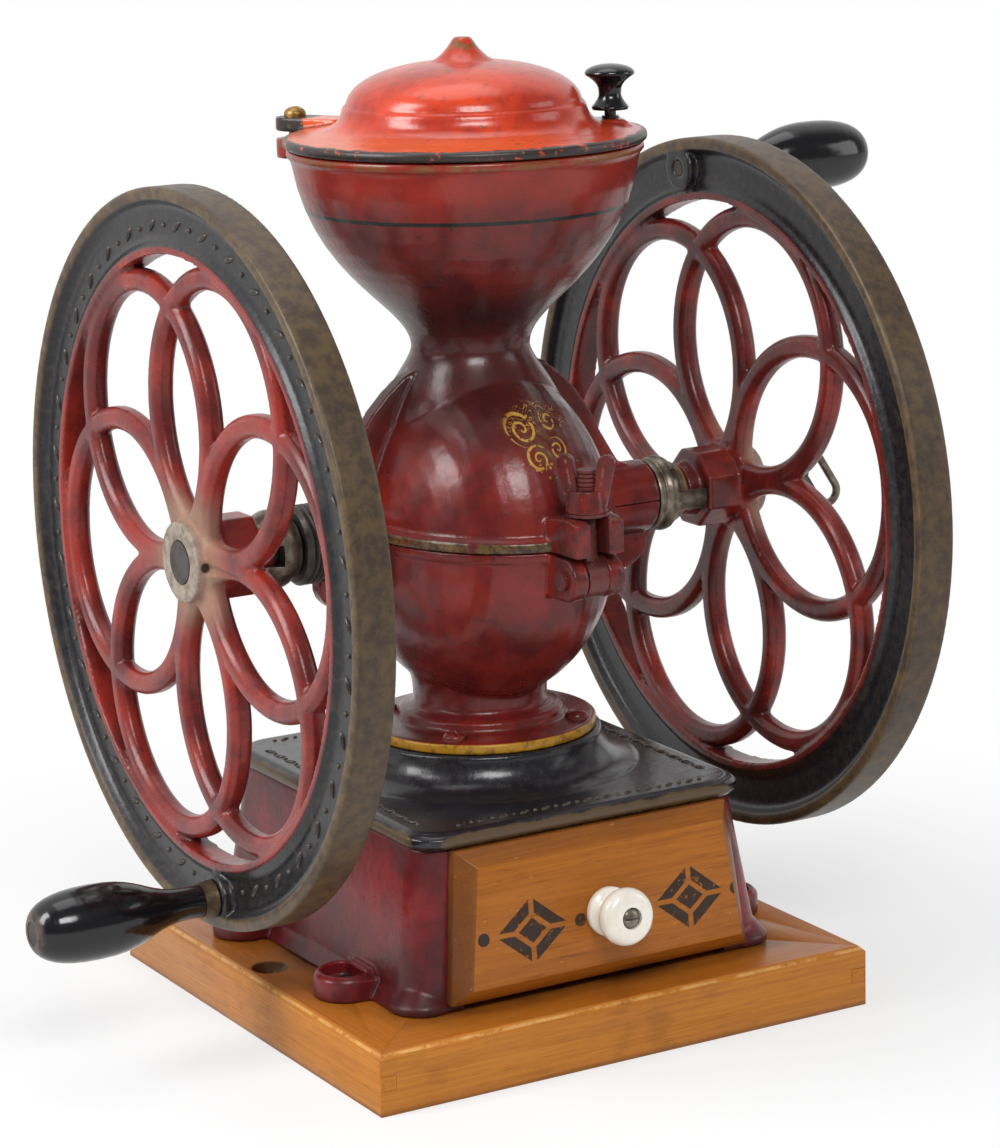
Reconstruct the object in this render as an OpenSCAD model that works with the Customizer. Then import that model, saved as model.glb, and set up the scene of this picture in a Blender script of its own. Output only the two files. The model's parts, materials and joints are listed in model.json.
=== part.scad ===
// Hand-cranked counter mill with two flywheels, a hinged hopper and a drawer.
// Frame: +X along the shaft to the right, the drawer faces -Y, +Z up.
// The origin is at the bottom centre of the wooden board.

/* [Board] */
// Width of the board, left to right
board_w = 210; // [206:1:214]
// Depth of the board, front to back
board_d = 213; // [208:1:230]
// Thickness of the board
board_t = 23.5; // [20:0.5:30]
// Width of the mitred rails round the board
rail_w = 50; // [46:1:56]
// Chamfer along the top edge of the board
board_edge = 2.2; // [1:0.1:5]
// Radius of the two holes that fasten the board to a counter
board_hole_r = 3.5; // [2.5:0.1:4.5]
// Distance of those holes from the side edges
board_hole_in = 10.5; // [9:0.5:12]
// Width of the side rails' tongues that show at the corners
key_w = 6.5; // [4:0.5:8]
// Height of those tongues
key_h = 5.5; // [4:0.5:10]
// Height of the tongues' underside above the counter
key_z = 9.5; // [6:0.5:11]

/* [Base case] */
// Half width of the iron case at its foot
case_x = 78; // [76:0.5:80]
// Half depth of the iron case at its foot
case_y = 82; // [79:0.5:84]
// Height of the iron case
case_h = 59.5; // [56:0.5:66]
// How far each side leans in towards the top
case_lean = 9.5; // [6:0.5:10]
// How far the front and the back lean in
case_lean_y = 5.5; // [4:0.5:7]
// Wall of the iron case
case_wall = 4.5; // [3.5:0.5:6]
// Corner radius of the iron case
case_round = 13; // [10:1:16]
// Thickness of the top plate's rim
plate_t = 6.6; // [5:0.2:8]
// How far the top plate stands out past the case
plate_over = 2.5; // [1.5:0.5:4]
// Radius of the plate's raised neck at its top
plate_neck_r = 46.5; // [45.5:0.5:48]
// Height of the plate's raised neck
plate_neck_h = 14; // [10:0.5:18]
// Radius of a foot ear
ear_r = 12; // [10.5:0.5:12.5]
// Height of a foot ear
ear_h = 8; // [6:0.5:10]
// Depth of the pocket that sinks a foot screw's head
ear_sink = 4; // [3:0.5:5]
// How far the foot screws bite into the board
foot_bite = 11; // [8:0.5:14]
// How far the screws under the roof bite into the top plate
plate_bite = 3.5; // [2.5:0.5:4]

/* [Drawer] */
// Height of the drawer front
front_h = 56.5; // [54:0.5:57]
// Half width of the drawer front at its foot
front_half = 64; // [60:0.5:66]
// Thickness of the drawer front behind its bevel
front_t = 4.5; // [3:0.5:8]
// Depth of the bevelled field
bevel_t = 6.5; // [4:0.5:8]
// Width of the bevel
bevel_w = 5.8; // [4:0.2:8]
// Half width of the drawer box
box_half = 55; // [48:1:57]
// Room between the drawer box and the back of the case
box_room = 6; // [3:0.5:20]
// Height of the drawer box
box_h = 44; // [36:1:48]
// Wall of the drawer box
box_wall = 7; // [5:0.5:9]
// Thickness of the drawer bottom
box_floor = 4; // [3:0.5:6]
// Height of the runners that the drawer slides on
runner_h = 3; // [2.5:0.5:5]
// Radius of the china knob
knob_r = 10.8; // [9.6:0.2:12]
// Length of the china knob
knob_l = 17.5; // [16:0.5:20]
// Height of the knob above the foot of the drawer front
knob_up = 25.5; // [22:0.5:32]

/* [Housing] */
// Height of the shaft above the counter
shaft_z = 184.5; // [183:0.5:190]
// Radius of the round housing across the shaft
globe_r = 66; // [64:0.5:67.5]
// Half length of the round housing along the shaft
globe_half = 48; // [46.5:0.5:50]
// How far the middle of the housing lies below the shaft
globe_drop = 3; // [1:0.5:4]
// Wall of the housing
globe_wall = 4.5; // [3.5:0.5:6]
// Radius of the foot flange
flange_r = 44.5; // [43:0.5:45.5]
// Thickness of the foot flange's edge
flange_t = 4.2; // [3:0.2:6]
// Outer radius of the lower neck
low_neck_r = 25.8; // [24.6:0.2:28]
// Radius of the circle of the flange screws
flange_screw_ring = 38; // [36.5:0.5:39]
// Outer radius of the upper neck
neck_r = 22.3; // [21:0.1:24]
// Height of the narrowest place of the upper neck
neck_z = 252; // [248:1:256]
// Outer radius of the hopper at its mouth
hopper_r = 64.8; // [62:0.2:65.2]
// Height of the hopper's rim
hopper_z = 327.5; // [324:0.5:334]
// Wall of the hopper
hopper_wall = 3.5; // [3:0.5:5]
// Thickness of the fins that brace the bearings
fin_t = 7; // [5:0.5:9]
// Outer radius of the bearing bosses
boss_r = 14; // [13:0.2:14.4]
// Outer end of the right bearing boss
boss_right = 75; // [73:0.5:77]
// Outer end of the left bearing boss
boss_left = 69; // [67:0.5:71]

/* [Clamp and hinge] */
// Direction of the clamp seen from above, in degrees
clamp_at = -87; // [-95:1:-80]
// Distance of the clamp bolt from the side of the round housing
clamp_stand = 9.5; // [9:0.5:12]
// Radius of the clamp bolt
clamp_bolt_r = 3.5; // [3:0.1:4]
// Height of the clamp pin below the seam
clamp_drop = 9; // [8.5:0.5:11]
// Radius of the clamp's eye and knuckles
knuckle_r = 8; // [7:0.1:8.1]
// Radius of the clamp pin and the hinge pin
pin_r = 2.4; // [2:0.1:3]
// Thickness of the slotted lug above the seam
lug_t = 14; // [12:0.5:15]
// Height of the wing nut with its wings
wing_h = 21; // [17:0.5:24]
// Reach of the wing nut's wings
wing_reach = 10.9; // [9.7:0.2:11.3]
// Distance of the hinge pin from the side of the round housing
hinge_stand = 8; // [7.5:0.5:10]

/* [Lid] */
// Radius of the lid's flange
lid_r = 67.8; // [66:0.2:69]
// Thickness of the lid's edge
lid_edge = 3.6; // [3:0.2:5]
// Radius of the lid's dome at its foot
dome_r = 46; // [42:0.5:48]
// Height of the dome's step above the lid's underside
step_h = 14.5; // [12:0.5:17]
// Height of the lid without its finial
dome_h = 30; // [27:0.2:33]
// Height of the finial
finial_h = 9; // [7:0.2:10]
// Wall of the lid
lid_wall = 3; // [2.4:0.2:4]
// Direction of the lid's pivot seen from above, in degrees
pivot_at = 121; // [110:1:130]
// Distance of the lid's pivot from the centre
pivot_reach = 74; // [73.5:0.5:76]
// Radius of the lid's pivot screw
pivot_r = 2.6; // [2:0.1:3]
// Direction of the lid's knob seen from above, in degrees
lid_knob_at = -22; // [-40:1:-10]
// Distance of the lid's knob from the centre
lid_knob_reach = 55; // [53:0.5:58]
// Radius of the lid's knob
lid_knob_r = 9.4; // [8:0.2:11]
// Radius of the knob's iron stem
stem_r = 2.2; // [1.8:0.1:2.6]

/* [Wheels] */
// Outer radius of the flywheels
wheel_r = 136.5; // [133:0.5:142]
// Width of the flywheel rim
wheel_w = 15.5; // [14:0.5:17]
// Distance from the centre to the outer face of a wheel rim
wheel_out = 123.75; // [123:0.25:125]
// Radius of the opening inside the rim
rim_in = 112; // [110:0.5:114]
// Radius of each of the interlaced rings of the spokes
ring_r = 50.8; // [50.2:0.1:51.6]
// Distance of the rings' centres from the shaft
ring_reach = 60; // [59.2:0.1:60.6]
// Width of a spoke ring
spoke_w = 8.6; // [7:0.2:10]
// Thickness of a spoke ring
spoke_t = 8.6; // [7:0.2:10]
// Radius of the wheel hub
hub_r = 15; // [14:0.2:16]
// How far the hub stands out past the rim's outer face
hub_proud = 0.5; // [0:0.1:1]
// Radius of the shaft
shaft_r = 8; // [7:0.1:8.4]

/* [Handles] */
// Distance of the handles from the wheel's outer edge
crank_in = 11.5; // [10.5:0.5:13]
// Direction of the left handle round the shaft, in degrees
crank_at = -97; // [-110:1:-80]
// Turn of the right handle from the left one, in degrees
crank_turn = 176.5; // [170:0.5:190]
// Largest radius of a wooden grip
grip_r = 13.8; // [12:0.2:15]
// Radius of a grip at its neck
grip_neck = 6; // [5.4:0.1:7]
// Length of a wooden grip
grip_l = 71.5; // [62:0.5:76]
// Radius of the grip's spindle
spindle_r = 3; // [2.5:0.1:3.5]

/* [Mill] */
// Radius of the grinding burrs
burr_r = 31; // [28:0.5:33]
// Thickness of a burr
burr_t = 7.5; // [6:0.5:9]
// Gap between the burrs
burr_gap = 1.2; // [1.1:0.1:2]
// Number of grooves in a burr
burr_grooves = 14; // [8:1:18]
// Radius of the feed worm
worm_r = 13; // [12:0.2:13.4]
// Length of the feed worm
worm_l = 33; // [26:1:34]
// Turns of the feed worm
worm_turns = 2; // [1:0.5:3]
// Outer radius of the bearing bushes
bush_r = 10.6; // [10:0.1:11]
// Outer radius of the adjusting nut
nut_r = 14.8; // [14.4:0.1:15.6]
// Travel left on each side of the shaft for setting the grind
end_play = 1; // [0.8:0.1:1.4]

/* [Setting screw] */
// Reach of the wire loop beyond the hub
loop_reach = 35; // [30:0.5:40]
// Depth of the setting screw in the end of the shaft
screw_in = 11; // [9:0.5:12]

/* [Fits] */
// Running clearance of the shaft, the pins and the grips, on the radius
run_gap = 0.06; // [0.02:0.01:0.1]
// Clearance between pieces that are seated on each other
seat_gap = 0.05; // [0.02:0.01:0.1]
// Clearance between curved faces of pieces that move past each other
free_gap = 0.3; // [0.3:0.05:0.5]

/* [Hidden] */
$fn = 72;
fine = 96;
hull_fn = 32;
eps = 0.01;
over = 1;

// Steps in the stack of pieces, from the board upwards
plate_z = board_t + case_h;
plate_top = plate_z + plate_t;
flange_z = plate_top + plate_neck_h;
flange_top = flange_z + flange_t;
case_x_top = case_x - case_lean;
case_y_top = case_y - case_lean_y;
plate_x = case_x_top + plate_over;
plate_y = case_y_top + plate_over;
lean_deg = atan(case_lean_y / case_h);

// Places along the shaft
wheel_mid = wheel_out - wheel_w / 2;
hub_out = wheel_out + hub_proud;
web_t = 6.8;
boss_in = globe_half - globe_wall + 0.5;
nose_r = 11.6;
nut_l = 12;
nut_lip = 4.6;
nut_at = boss_right + 0.6;
nut_end = nut_at + nut_l;
thrust_t = 1.8;
thrust_at = nut_end + 0.5;
nose_at = thrust_at + thrust_t + end_play;
hub_step = nose_at + 6.1;
hub_nose_r = 10.2;
tooth_l = hub_step - end_play - nut_end;
collar_at = boss_left + seat_gap;
collar_l = 9.5;
collar_r = 15;
ball_at = collar_at + collar_l + end_play;
ball_l = 16.5;
ball_nose = 8.5;
ball_r = 14.8;
hub_left_in = ball_at + ball_l + 0.5;

// Mill
burr_fixed_at = 14;
burr_turn_at = burr_fixed_at + burr_t + burr_gap;
chute_wall = 3;
chute_r = worm_r + 1.5;
chute_at = burr_fixed_at - 4 - worm_l - 2;
chute_top = shaft_z + 36;
chute_flange_t = 4;
chute_flange_at = burr_fixed_at - chute_flange_t;
chute_flange_r = burr_r + 3;
bar_half = (globe_r - globe_wall) * sqrt(1 - pow(burr_fixed_at / (globe_half - globe_wall), 2)) - 0.6;
bar_t = 4;
ledge_in = bar_half - 5;

// Round housing
globe_z = shaft_z - globe_drop;
low_join = globe_z - globe_r * sqrt(1 - pow(low_neck_r / globe_half, 2));
neck_foot_r = 36;
neck_foot_z = globe_z + globe_r * sqrt(1 - pow(neck_foot_r / globe_half, 2));

// Clamp and hinge
clamp_reach = globe_r + clamp_stand;
hinge_reach = globe_r + hinge_stand;
clamp_root = clamp_stand + 8;
hinge_root = hinge_stand + 5;
clamp_pin_z = shaft_z - clamp_drop;
lug_top = shaft_z + lug_t;
crown_r = lug_top - clamp_pin_z;
eye_t = 8.4;
cheek_t = 6.5;
slot_half = clamp_bolt_r + 0.4;
hinge_eye_t = 12;
nut_block_h = 8;
nut_block_r = 8;
bolt_top = lug_top + 17;
wing_turn = 42;

// Lid
lid_z = hopper_z + 0.35;
pivot_lug_r = 7.5;
lid_lug_z = lid_z + 2.4;
lid_lug_t = 5.2;
hop_lug_top = lid_z - 0.4;
hop_lug_t = 7.5;
pivot_head_h = 3.8;
stem_foot_z = lid_z + lid_edge;
lid_knob_z = stem_foot_z + 6.5;
lid_knob_h = 17;

// Drawer
drawer_z = board_t + runner_h;
front_back_y = -case_y + runner_h * tan(lean_deg) - 0.12;
front_narrow = case_lean * front_h / case_h * 0.62;
knob_x = 0;
box_back = case_y_top - case_wall - box_room;

// Handles
crank_r = wheel_r - crank_in;

// Feet and screws
ear_x = case_x + 6.5;
ear_y = 42.5;
lobe_x = case_x - 9.5;
lobe_y = case_y - 10.5;
lobe_r = 12.5;
foot_screw_r = 2.1;
flange_screw_r = 2.4;
plate_screw_x = case_x_top - 14;
plate_screw_y = case_y_top - 14;

// Points of a cubic curve from a to d, bent towards b and c
function curve(a, b, c, d, n) = [for (i = [0:n]) let (t = i / n, s = 1 - t)
    s * s * s * a + 3 * s * s * t * b + 3 * s * t * t * c + t * t * t * d];

// Points of an elliptical arc
function arc(cx, cy, rx, ry, from, to, n) = [for (i = [0:n])
    let (a = from + (to - from) * i / n) [cx + rx * cos(a), cy + ry * sin(a)]];

// Points in reverse order
function back(p) = [for (i = [len(p) - 1:-1:0]) p[i]];

// A profile moved inwards by w along the radius
function inset(p, w) = [for (q = p) [q[0] - w, q[1]]];

// Turns a piece made along +Z so that it lies along +X
module along_x() {
    rotate([0, 90, 0]) children();
}

// A cylinder along X between two places
module bar_x(r, from, to, y = 0, z = shaft_z, n = $fn) {
    translate([from, y, z]) along_x() cylinder(h = to - from, r = r, $fn = n);
}

// A revolved profile with its axis along the shaft, points are [radius, x]
module turned_x(points, n = fine) {
    translate([0, 0, shaft_z]) along_x() rotate_extrude($fn = n) polygon(points);
}

// A rounded rectangle slab, made from plain solids only
module slab(hx, hy, r, h) {
    linear_extrude(height = h) union() {
        square([2 * hx, 2 * (hy - r)], center = true);
        square([2 * (hx - r), 2 * hy], center = true);
        for (sx = [-1, 1], sy = [-1, 1])
            translate([sx * (hx - r), sy * (hy - r)]) circle(r = r, $fn = 48);
    }
}

// A tapered block with rounded corners
module tapered(hx, hy, tx, ty, r, h) {
    hull() {
        for (sx = [-1, 1], sy = [-1, 1]) {
            translate([sx * (hx - r), sy * (hy - r), 0]) cylinder(h = eps, r = r, $fn = hull_fn);
            translate([sx * (tx - r), sy * (ty - r), h - eps]) cylinder(h = eps, r = r, $fn = hull_fn);
        }
    }
}

// One mitred rail of the board, lying along X with its outer edge at y = -d / 2
module rail(w, d) {
    hw = w / 2;
    hd = d / 2;
    difference() {
        linear_extrude(height = board_t)
            polygon([[-hw, -hd], [hw, -hd], [hw - rail_w, -hd + rail_w], [-hw + rail_w, -hd + rail_w]]);
        translate([-hw - over, -hd, board_t]) rotate([45, 0, 0])
            translate([0, -board_edge * sqrt(2), -board_edge / sqrt(2)])
            cube([w + 2 * over, 2 * board_edge * sqrt(2), board_edge * sqrt(2)]);
    }
}

// The tongues of the side rails that lock the mitres, larger by g
module tongues(side, g) {
    l = 2.6 * key_w;
    for (sy = [-1, 1])
        translate([side * (board_w / 2 - key_w / 2), sy * (board_d / 2 - l / 2 + g / 2), key_z + key_h / 2])
            cube([key_w + 2 * g, l + g, key_h + 2 * g], center = true);
}

// Where the foot screws stand
module at_ears() {
    for (sx = [-1, 1], sy = [-1, 1]) translate([sx * ear_x, sy * ear_y, 0]) children();
}

// Where the holes of the board stand
module at_board_holes() {
    for (sx = [-1, 1]) translate([sx * (board_w / 2 - board_hole_in), 0, 0]) children();
}

module board_cuts() {
    at_ears() translate([0, 0, board_t - foot_bite - 3])
        cylinder(h = foot_bite + 3 + over, r = foot_screw_r + seat_gap);
    at_board_holes() {
        translate([0, 0, -over]) cylinder(h = board_t + 2 * over, r = board_hole_r);
        translate([0, 0, board_t - 3.5]) cylinder(h = 3.5 + eps, r1 = board_hole_r, r2 = 7);
    }
}

module board_panel() {
    color("#b9772f")
    translate([-board_w / 2 + rail_w + seat_gap, -board_d / 2 + rail_w + seat_gap, 0])
        cube([board_w - 2 * rail_w - 2 * seat_gap, board_d - 2 * rail_w - 2 * seat_gap, board_t]);
}

module board_front_rail() {
    color("#c98536") difference() {
        rail(board_w, board_d);
        for (s = [-1, 1]) tongues(s, seat_gap);
        board_cuts();
    }
}

module board_back_rail() {
    color("#c98536") difference() {
        rotate([0, 0, 180]) rail(board_w, board_d);
        for (s = [-1, 1]) tongues(s, seat_gap);
        board_cuts();
    }
}

module board_left_rail() {
    color("#c27d31") difference() {
        union() {
            rotate([0, 0, -90]) rail(board_d, board_w);
            tongues(-1, 0);
        }
        board_cuts();
    }
}

module board_right_rail() {
    color("#c27d31") difference() {
        union() {
            rotate([0, 0, 90]) rail(board_d, board_w);
            tongues(1, 0);
        }
        board_cuts();
    }
}

module drawer_runners() {
    color("#a5692b") for (s = [-1, 1])
        translate([s * (box_half - 8) - 5, -case_y + 12, board_t]) cube([10, 2 * case_y - 22, runner_h]);
}

// Outside of the iron case without its feet
module case_body() {
    translate([0, 0, board_t]) {
        tapered(case_x, case_y, case_x_top, case_y_top, case_round, case_h);
        tapered(case_x + 3, case_y + 1, case_x - 0.5, case_y - 0.4, case_round, 6);
    }
}

// Inside of the iron case
module case_inside() {
    w = case_wall;
    translate([0, 0, board_t - over])
        tapered(case_x - w, case_y - w, case_x_top - w, case_y_top - w, case_round - w, case_h - w + over);
    translate([-box_half - 1.5, -case_y - 6, board_t - over])
        cube([2 * box_half + 3, 3 * case_round, runner_h + box_h + 2.5 + over]);
    on_front() translate([-front_half - 0.6, -0.5, -0.05])
        cube([2 * front_half + 1.2, front_h + 12, 3 * front_t]);
}

// The opening in the case's roof that the ground coffee falls through
module case_throat() {
    translate([0, 0, plate_z - case_wall - over])
        cylinder(h = case_wall + 2 * over, r = flange_screw_ring + 8);
}

// One corner of the case's feet, in the corner with positive x and y
module foot() {
    translate([0, 0, board_t]) {
        translate([ear_x, ear_y, 0]) cylinder(h = ear_h, r = ear_r);
        translate([ear_x - ear_r - 4, ear_y - ear_r, 0]) cube([ear_r + 4, 2 * ear_r, ear_h]);
        translate([lobe_x, lobe_y, 0]) cylinder(h = 3, r = lobe_r);
        translate([lobe_x, lobe_y, 3]) cylinder(h = 7, r1 = lobe_r, r2 = lobe_r / 2);
        translate([ear_x, ear_y, ear_h]) cylinder(h = 2, r1 = ear_r, r2 = ear_r - 2);
    }
}

// The pocket for a screw's head, in the ear with positive x and y
module ear_pocket() {
    translate([ear_x, ear_y, board_t + ear_h - ear_sink]) intersection() {
        cylinder(h = ear_sink + 3, r = ear_r - 3.4);
        translate([case_x + 1.5 - ear_x, -ear_r, 0]) cube([2 * ear_r, 2 * ear_r, ear_sink + 3]);
    }
}

module base_case() {
    color("#7e1f22") difference() {
        union() {
            case_body();
            for (sx = [0, 1], sy = [0, 1]) mirror([sx, 0, 0]) mirror([0, sy, 0]) foot();
        }
        case_inside();
        case_throat();
        at_ears() translate([0, 0, board_t - over]) cylinder(h = ear_h + 4 * over, r = foot_screw_r + 0.2);
        for (sx = [0, 1], sy = [0, 1]) mirror([sx, 0, 0]) mirror([0, sy, 0]) ear_pocket();
        for (sx = [-1, 1], sy = [-1, 1]) translate([sx * plate_screw_x, sy * plate_screw_y, plate_z - 12])
            cylinder(h = 14, r = foot_screw_r + seat_gap);
    }
}

module top_plate() {
    foot_r = plate_neck_r + 13.5;
    neck_profile = concat([[0, plate_top - 1], [foot_r, plate_top - 1], [foot_r, plate_top + 0.2]],
        curve([foot_r - 0.5, plate_top + 0.4], [foot_r - 8, plate_top + 1.4],
        [plate_neck_r + 1.4, plate_top + 5],
            [plate_neck_r, flange_z - 2.5], 10),
        [[plate_neck_r, flange_z - 0.8], [plate_neck_r - 0.8, flange_z], [0, flange_z]]);
    color("#23262a") difference() {
        union() {
            translate([0, 0, plate_z]) slab(plate_x - 1.2, plate_y - 1.2, case_round, 1.4);
            translate([0, 0, plate_z + 1.4 - eps]) slab(plate_x, plate_y, case_round, plate_t - 3.4);
            translate([0, 0, plate_z + plate_t - 2 - 2 * eps])
                slab(plate_x - 0.9, plate_y - 0.9, case_round, 1.2);
            translate([0, 0, plate_z + plate_t - 0.8 - 3 * eps])
                slab(plate_x - 2.6, plate_y - 2.6, case_round, 0.8);
            rotate_extrude($fn = fine) polygon(neck_profile);
        }
        translate([0, 0, plate_z - over]) cylinder(h = flange_z, r = low_neck_r - globe_wall);
        flange_screw_holes(flange_screw_r + seat_gap);
        for (sx = [-1, 1], sy = [-1, 1]) translate([sx * plate_screw_x, sy * plate_screw_y, plate_z - over])
            cylinder(h = plate_bite + 0.5 + over, r = foot_screw_r + seat_gap);
    }
}

// Where the four flange screws stand
module at_flange_screws() {
    for (a = [45:90:315]) rotate([0, 0, a]) translate([flange_screw_ring, 0, 0]) children();
}

module flange_screw_holes(r) {
    at_flange_screws() translate([0, 0, plate_z - over]) cylinder(h = flange_top - plate_z + 4, r = r);
}

// A round-headed screw standing on z = 0 with its shank below
module round_screw(shank_r, shank_l, head_r, head_h) {
    difference() {
        union() {
            translate([0, 0, -shank_l]) cylinder(h = shank_l + eps, r = shank_r);
            rotate_extrude($fn = 48) polygon(concat([[0, 0], [head_r, 0]],
                arc(0, head_h * 0.25, head_r, head_h * 0.75, 0, 90, 8)));
        }
        translate([-head_r - over, -head_r * 0.13, head_h * 0.62])
            cube([2 * head_r + 2 * over, head_r * 0.26, head_h]);
    }
}

module foot_screws() {
    color("#4a4744") at_ears() translate([0, 0, board_t + ear_h - ear_sink])
        round_screw(foot_screw_r, ear_h - ear_sink + foot_bite, 4.2, 3);
}

module plate_screws() {
    color("#4a4744") for (sx = [-1, 1], sy = [-1, 1])
        translate([sx * plate_screw_x, sy * plate_screw_y, plate_z - case_wall])
            rotate([180, 0, 0]) round_screw(foot_screw_r, case_wall + plate_bite, 3.8, 2.4);
}

// Outline of the drawer front, grown or shrunk by g all round
function front_shape(g) = [[-front_half - g, -g], [front_half + g, -g],
    [front_half - front_narrow + g, front_h + g], [-front_half + front_narrow - g, front_h + g]];

// Carries what is built flat in XY to the leaning drawer front, with +Z outwards
module on_front() {
    translate([0, front_back_y, drawer_z]) rotate([90 - lean_deg, 0, 0]) children();
}

module drawer_front() {
    color("#c4802f") difference() {
        on_front() {
            linear_extrude(height = front_t) polygon(front_shape(0));
            hull() {
                translate([0, 0, front_t - eps]) linear_extrude(height = eps) polygon(front_shape(0));
                translate([0, 0, front_t + bevel_t - eps]) linear_extrude(height = eps)
                    polygon(front_shape(-bevel_w));
            }
        }
        on_front() translate([knob_x, knob_up, -over])
            cylinder(h = front_t + bevel_t + 2 * over, r = 2 + seat_gap);
    }
}

// One board of the drawer box that meets the leaning front
module box_board(x, y0, y1, wide) {
    difference() {
        translate([x, y0, drawer_z + seat_gap]) cube([wide, y1 - y0, box_h]);
        on_front() translate([-case_x, -case_y, -seat_gap])
            cube([2 * case_x, 2 * case_x + case_y, 4 * front_t]);
    }
}

module drawer_left_side() {
    color("#b06f2a") box_board(-box_half, front_back_y - over, box_back, box_wall);
}

module drawer_right_side() {
    color("#b06f2a") box_board(box_half - box_wall, front_back_y - over, box_back, box_wall);
}

module drawer_back() {
    color("#a86926") translate([-box_half + box_wall + seat_gap, box_back - box_wall, drawer_z + seat_gap])
        cube([2 * (box_half - box_wall - seat_gap), box_wall, box_h - 4]);
}

module drawer_bottom() {
    color("#9c6126") difference() {
        translate([-box_half + box_wall + seat_gap, front_back_y - over, drawer_z + seat_gap])
            cube([2 * (box_half - box_wall - seat_gap), box_back - front_back_y - box_wall + over - seat_gap,
                box_floor]);
        on_front() translate([-case_x, -case_y, -seat_gap])
            cube([2 * case_x, 2 * case_x + case_y, 4 * front_t]);
    }
}

module drawer_knob() {
    color("#f1efe9") on_front() translate([knob_x, knob_up, front_t + bevel_t + seat_gap]) difference() {
        rotate_extrude($fn = fine) polygon(concat([[0, 0], [8.8, 0], [9.3, 0.8], [9.3, 2.4]],
            curve([9, 3.3], [6.4, 4.2], [6, 7.2], [knob_r - 2.2, knob_l - 8.2], 8),
            arc(knob_r - 3.4, knob_l - 4.4, 3.4, 4.1, -50, 85, 12), [[4.6, knob_l], [0, knob_l]]));
        translate([0, 0, -over]) cylinder(h = knob_l + 2 * over, r = 2 + seat_gap);
        translate([0, 0, knob_l - 2.2]) cylinder(h = 4, r = 4.1);
    }
}

module drawer_knob_screw() {
    color("#77736c") on_front() translate([knob_x, knob_up, front_t + bevel_t + knob_l - 2.1])
        round_screw(2, knob_l + front_t + bevel_t - 4.1, 3.8, 2.6);
}

// The round body of the housing, larger by g all over, with its axis along the shaft
module round_body(g) {
    translate([0, 0, globe_z]) along_x() rotate_extrude($fn = fine)
        polygon(arc(0, 0, globe_r + g, globe_half + g, -90, 90, 28));
}

// Everything above the seam, or below it
module seam_half(above) {
    translate([-150, -150, above ? shaft_z + seat_gap : shaft_z - seat_gap - 300]) cube(300);
}

// The oval bead round the seam, larger by g than the round body
module seam_bead(g, from, to) {
    translate([0, 0, from]) linear_extrude(height = to - from)
        polygon([for (a = [0:5:355]) [(globe_half + g) * cos(a), (globe_r + g) * sin(a)]]);
}

// Outer profile of the lower neck from the flange up into the round body
low_neck = concat([[flange_r, flange_z + seat_gap], [flange_r, flange_top - 0.6],
    [flange_r - 0.8, flange_top],
    [33, flange_top + 0.8], [32, flange_top + 1.2], [31.6, flange_top + 4.2], [30, flange_top + 5.2]],
    curve([28.5, flange_top + 5.4], [26.4, flange_top + 5.8], [low_neck_r, flange_top + 6.6],
        [low_neck_r, flange_top + 8.6], 4),
    curve([low_neck_r, low_join - 9], [low_neck_r, low_join - 4], [low_neck_r + 0.5, low_join - 0.6],
        [low_neck_r + 1.7, low_join + 1.6], 5));

// Outer profile of the upper neck, from the round body to its narrowest place
neck_flare = curve([neck_foot_r, neck_foot_z], [neck_foot_r - 3.5, neck_foot_z + 12.3],
    [neck_r + 0.8, neck_z - 6], [neck_r, neck_z], 10);

// Outer and inner profiles of the hopper above the neck
bowl = curve([neck_r, neck_z], [neck_r, neck_z + 16], [hopper_r - 6.8, neck_z + 25],
    [hopper_r, hopper_z - 5.5], 14);
rim_profile = [[hopper_r + 0.6, hopper_z - 3.6], [hopper_r + 1.8, hopper_z - 2.8],
    [hopper_r + 1.8, hopper_z - 0.6],
    [hopper_r + 1.2, hopper_z]];
bowl_in = concat(curve([neck_r - globe_wall, neck_z], [neck_r - globe_wall, neck_z + 17],
    [hopper_r - 7 - hopper_wall, neck_z + 30], [hopper_r - hopper_wall, hopper_z - 5.5], 14),
    [[hopper_r - hopper_wall, hopper_z]]);

// Fin that braces a bearing above the seam, on the side of positive x
module upper_fin(end) {
    rotate([90, 0, 0]) translate([0, 0, -fin_t / 2]) linear_extrude(height = fin_t)
        polygon([[globe_half - 16, shaft_z + 2], [end - 6, shaft_z + 2], [end - 6, shaft_z + boss_r - 1],
            [globe_half + 14.5, shaft_z + 15.5], [globe_half + 11.6, shaft_z + 20.1],
            [globe_half + 6.5, shaft_z + 28.5], [globe_half + 2, shaft_z + 37.5],
            [globe_half - 4, shaft_z + 46],
            [globe_half - 11, shaft_z + 53.1], [globe_half - 17.6, shaft_z + 58.3], [neck_r + 1, neck_z - 6],
            [neck_r - 3, neck_z - 6]]);
}

// Bracket under a bearing, on the side of positive x
module lower_fin(end) {
    rotate([90, 0, 0]) translate([0, 0, -fin_t / 2]) linear_extrude(height = fin_t)
        polygon(concat([[globe_half - 12, shaft_z - 2], [end - 2, shaft_z - 2],
            [end - 2, shaft_z - boss_r + 2]],
            curve([end, shaft_z - 15.6], [end + 1, shaft_z - 21], [end - 3, shaft_z - 26],
                [end - 11, shaft_z - 27.6], 7),
                    [[globe_half - 4, shaft_z - 31], [globe_half - 12, shaft_z - 31]]));
}

// Space of the shaft's bushes and of what turns inside the housing
module shaft_space() {
    bar_x(bush_r + seat_gap, -boss_right, nut_end);
}

// Carries what is built at a reach from the centre to the clamp, with +X outwards
module at_clamp() {
    rotate([0, 0, clamp_at]) translate([clamp_reach, 0, 0]) children();
}

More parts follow.
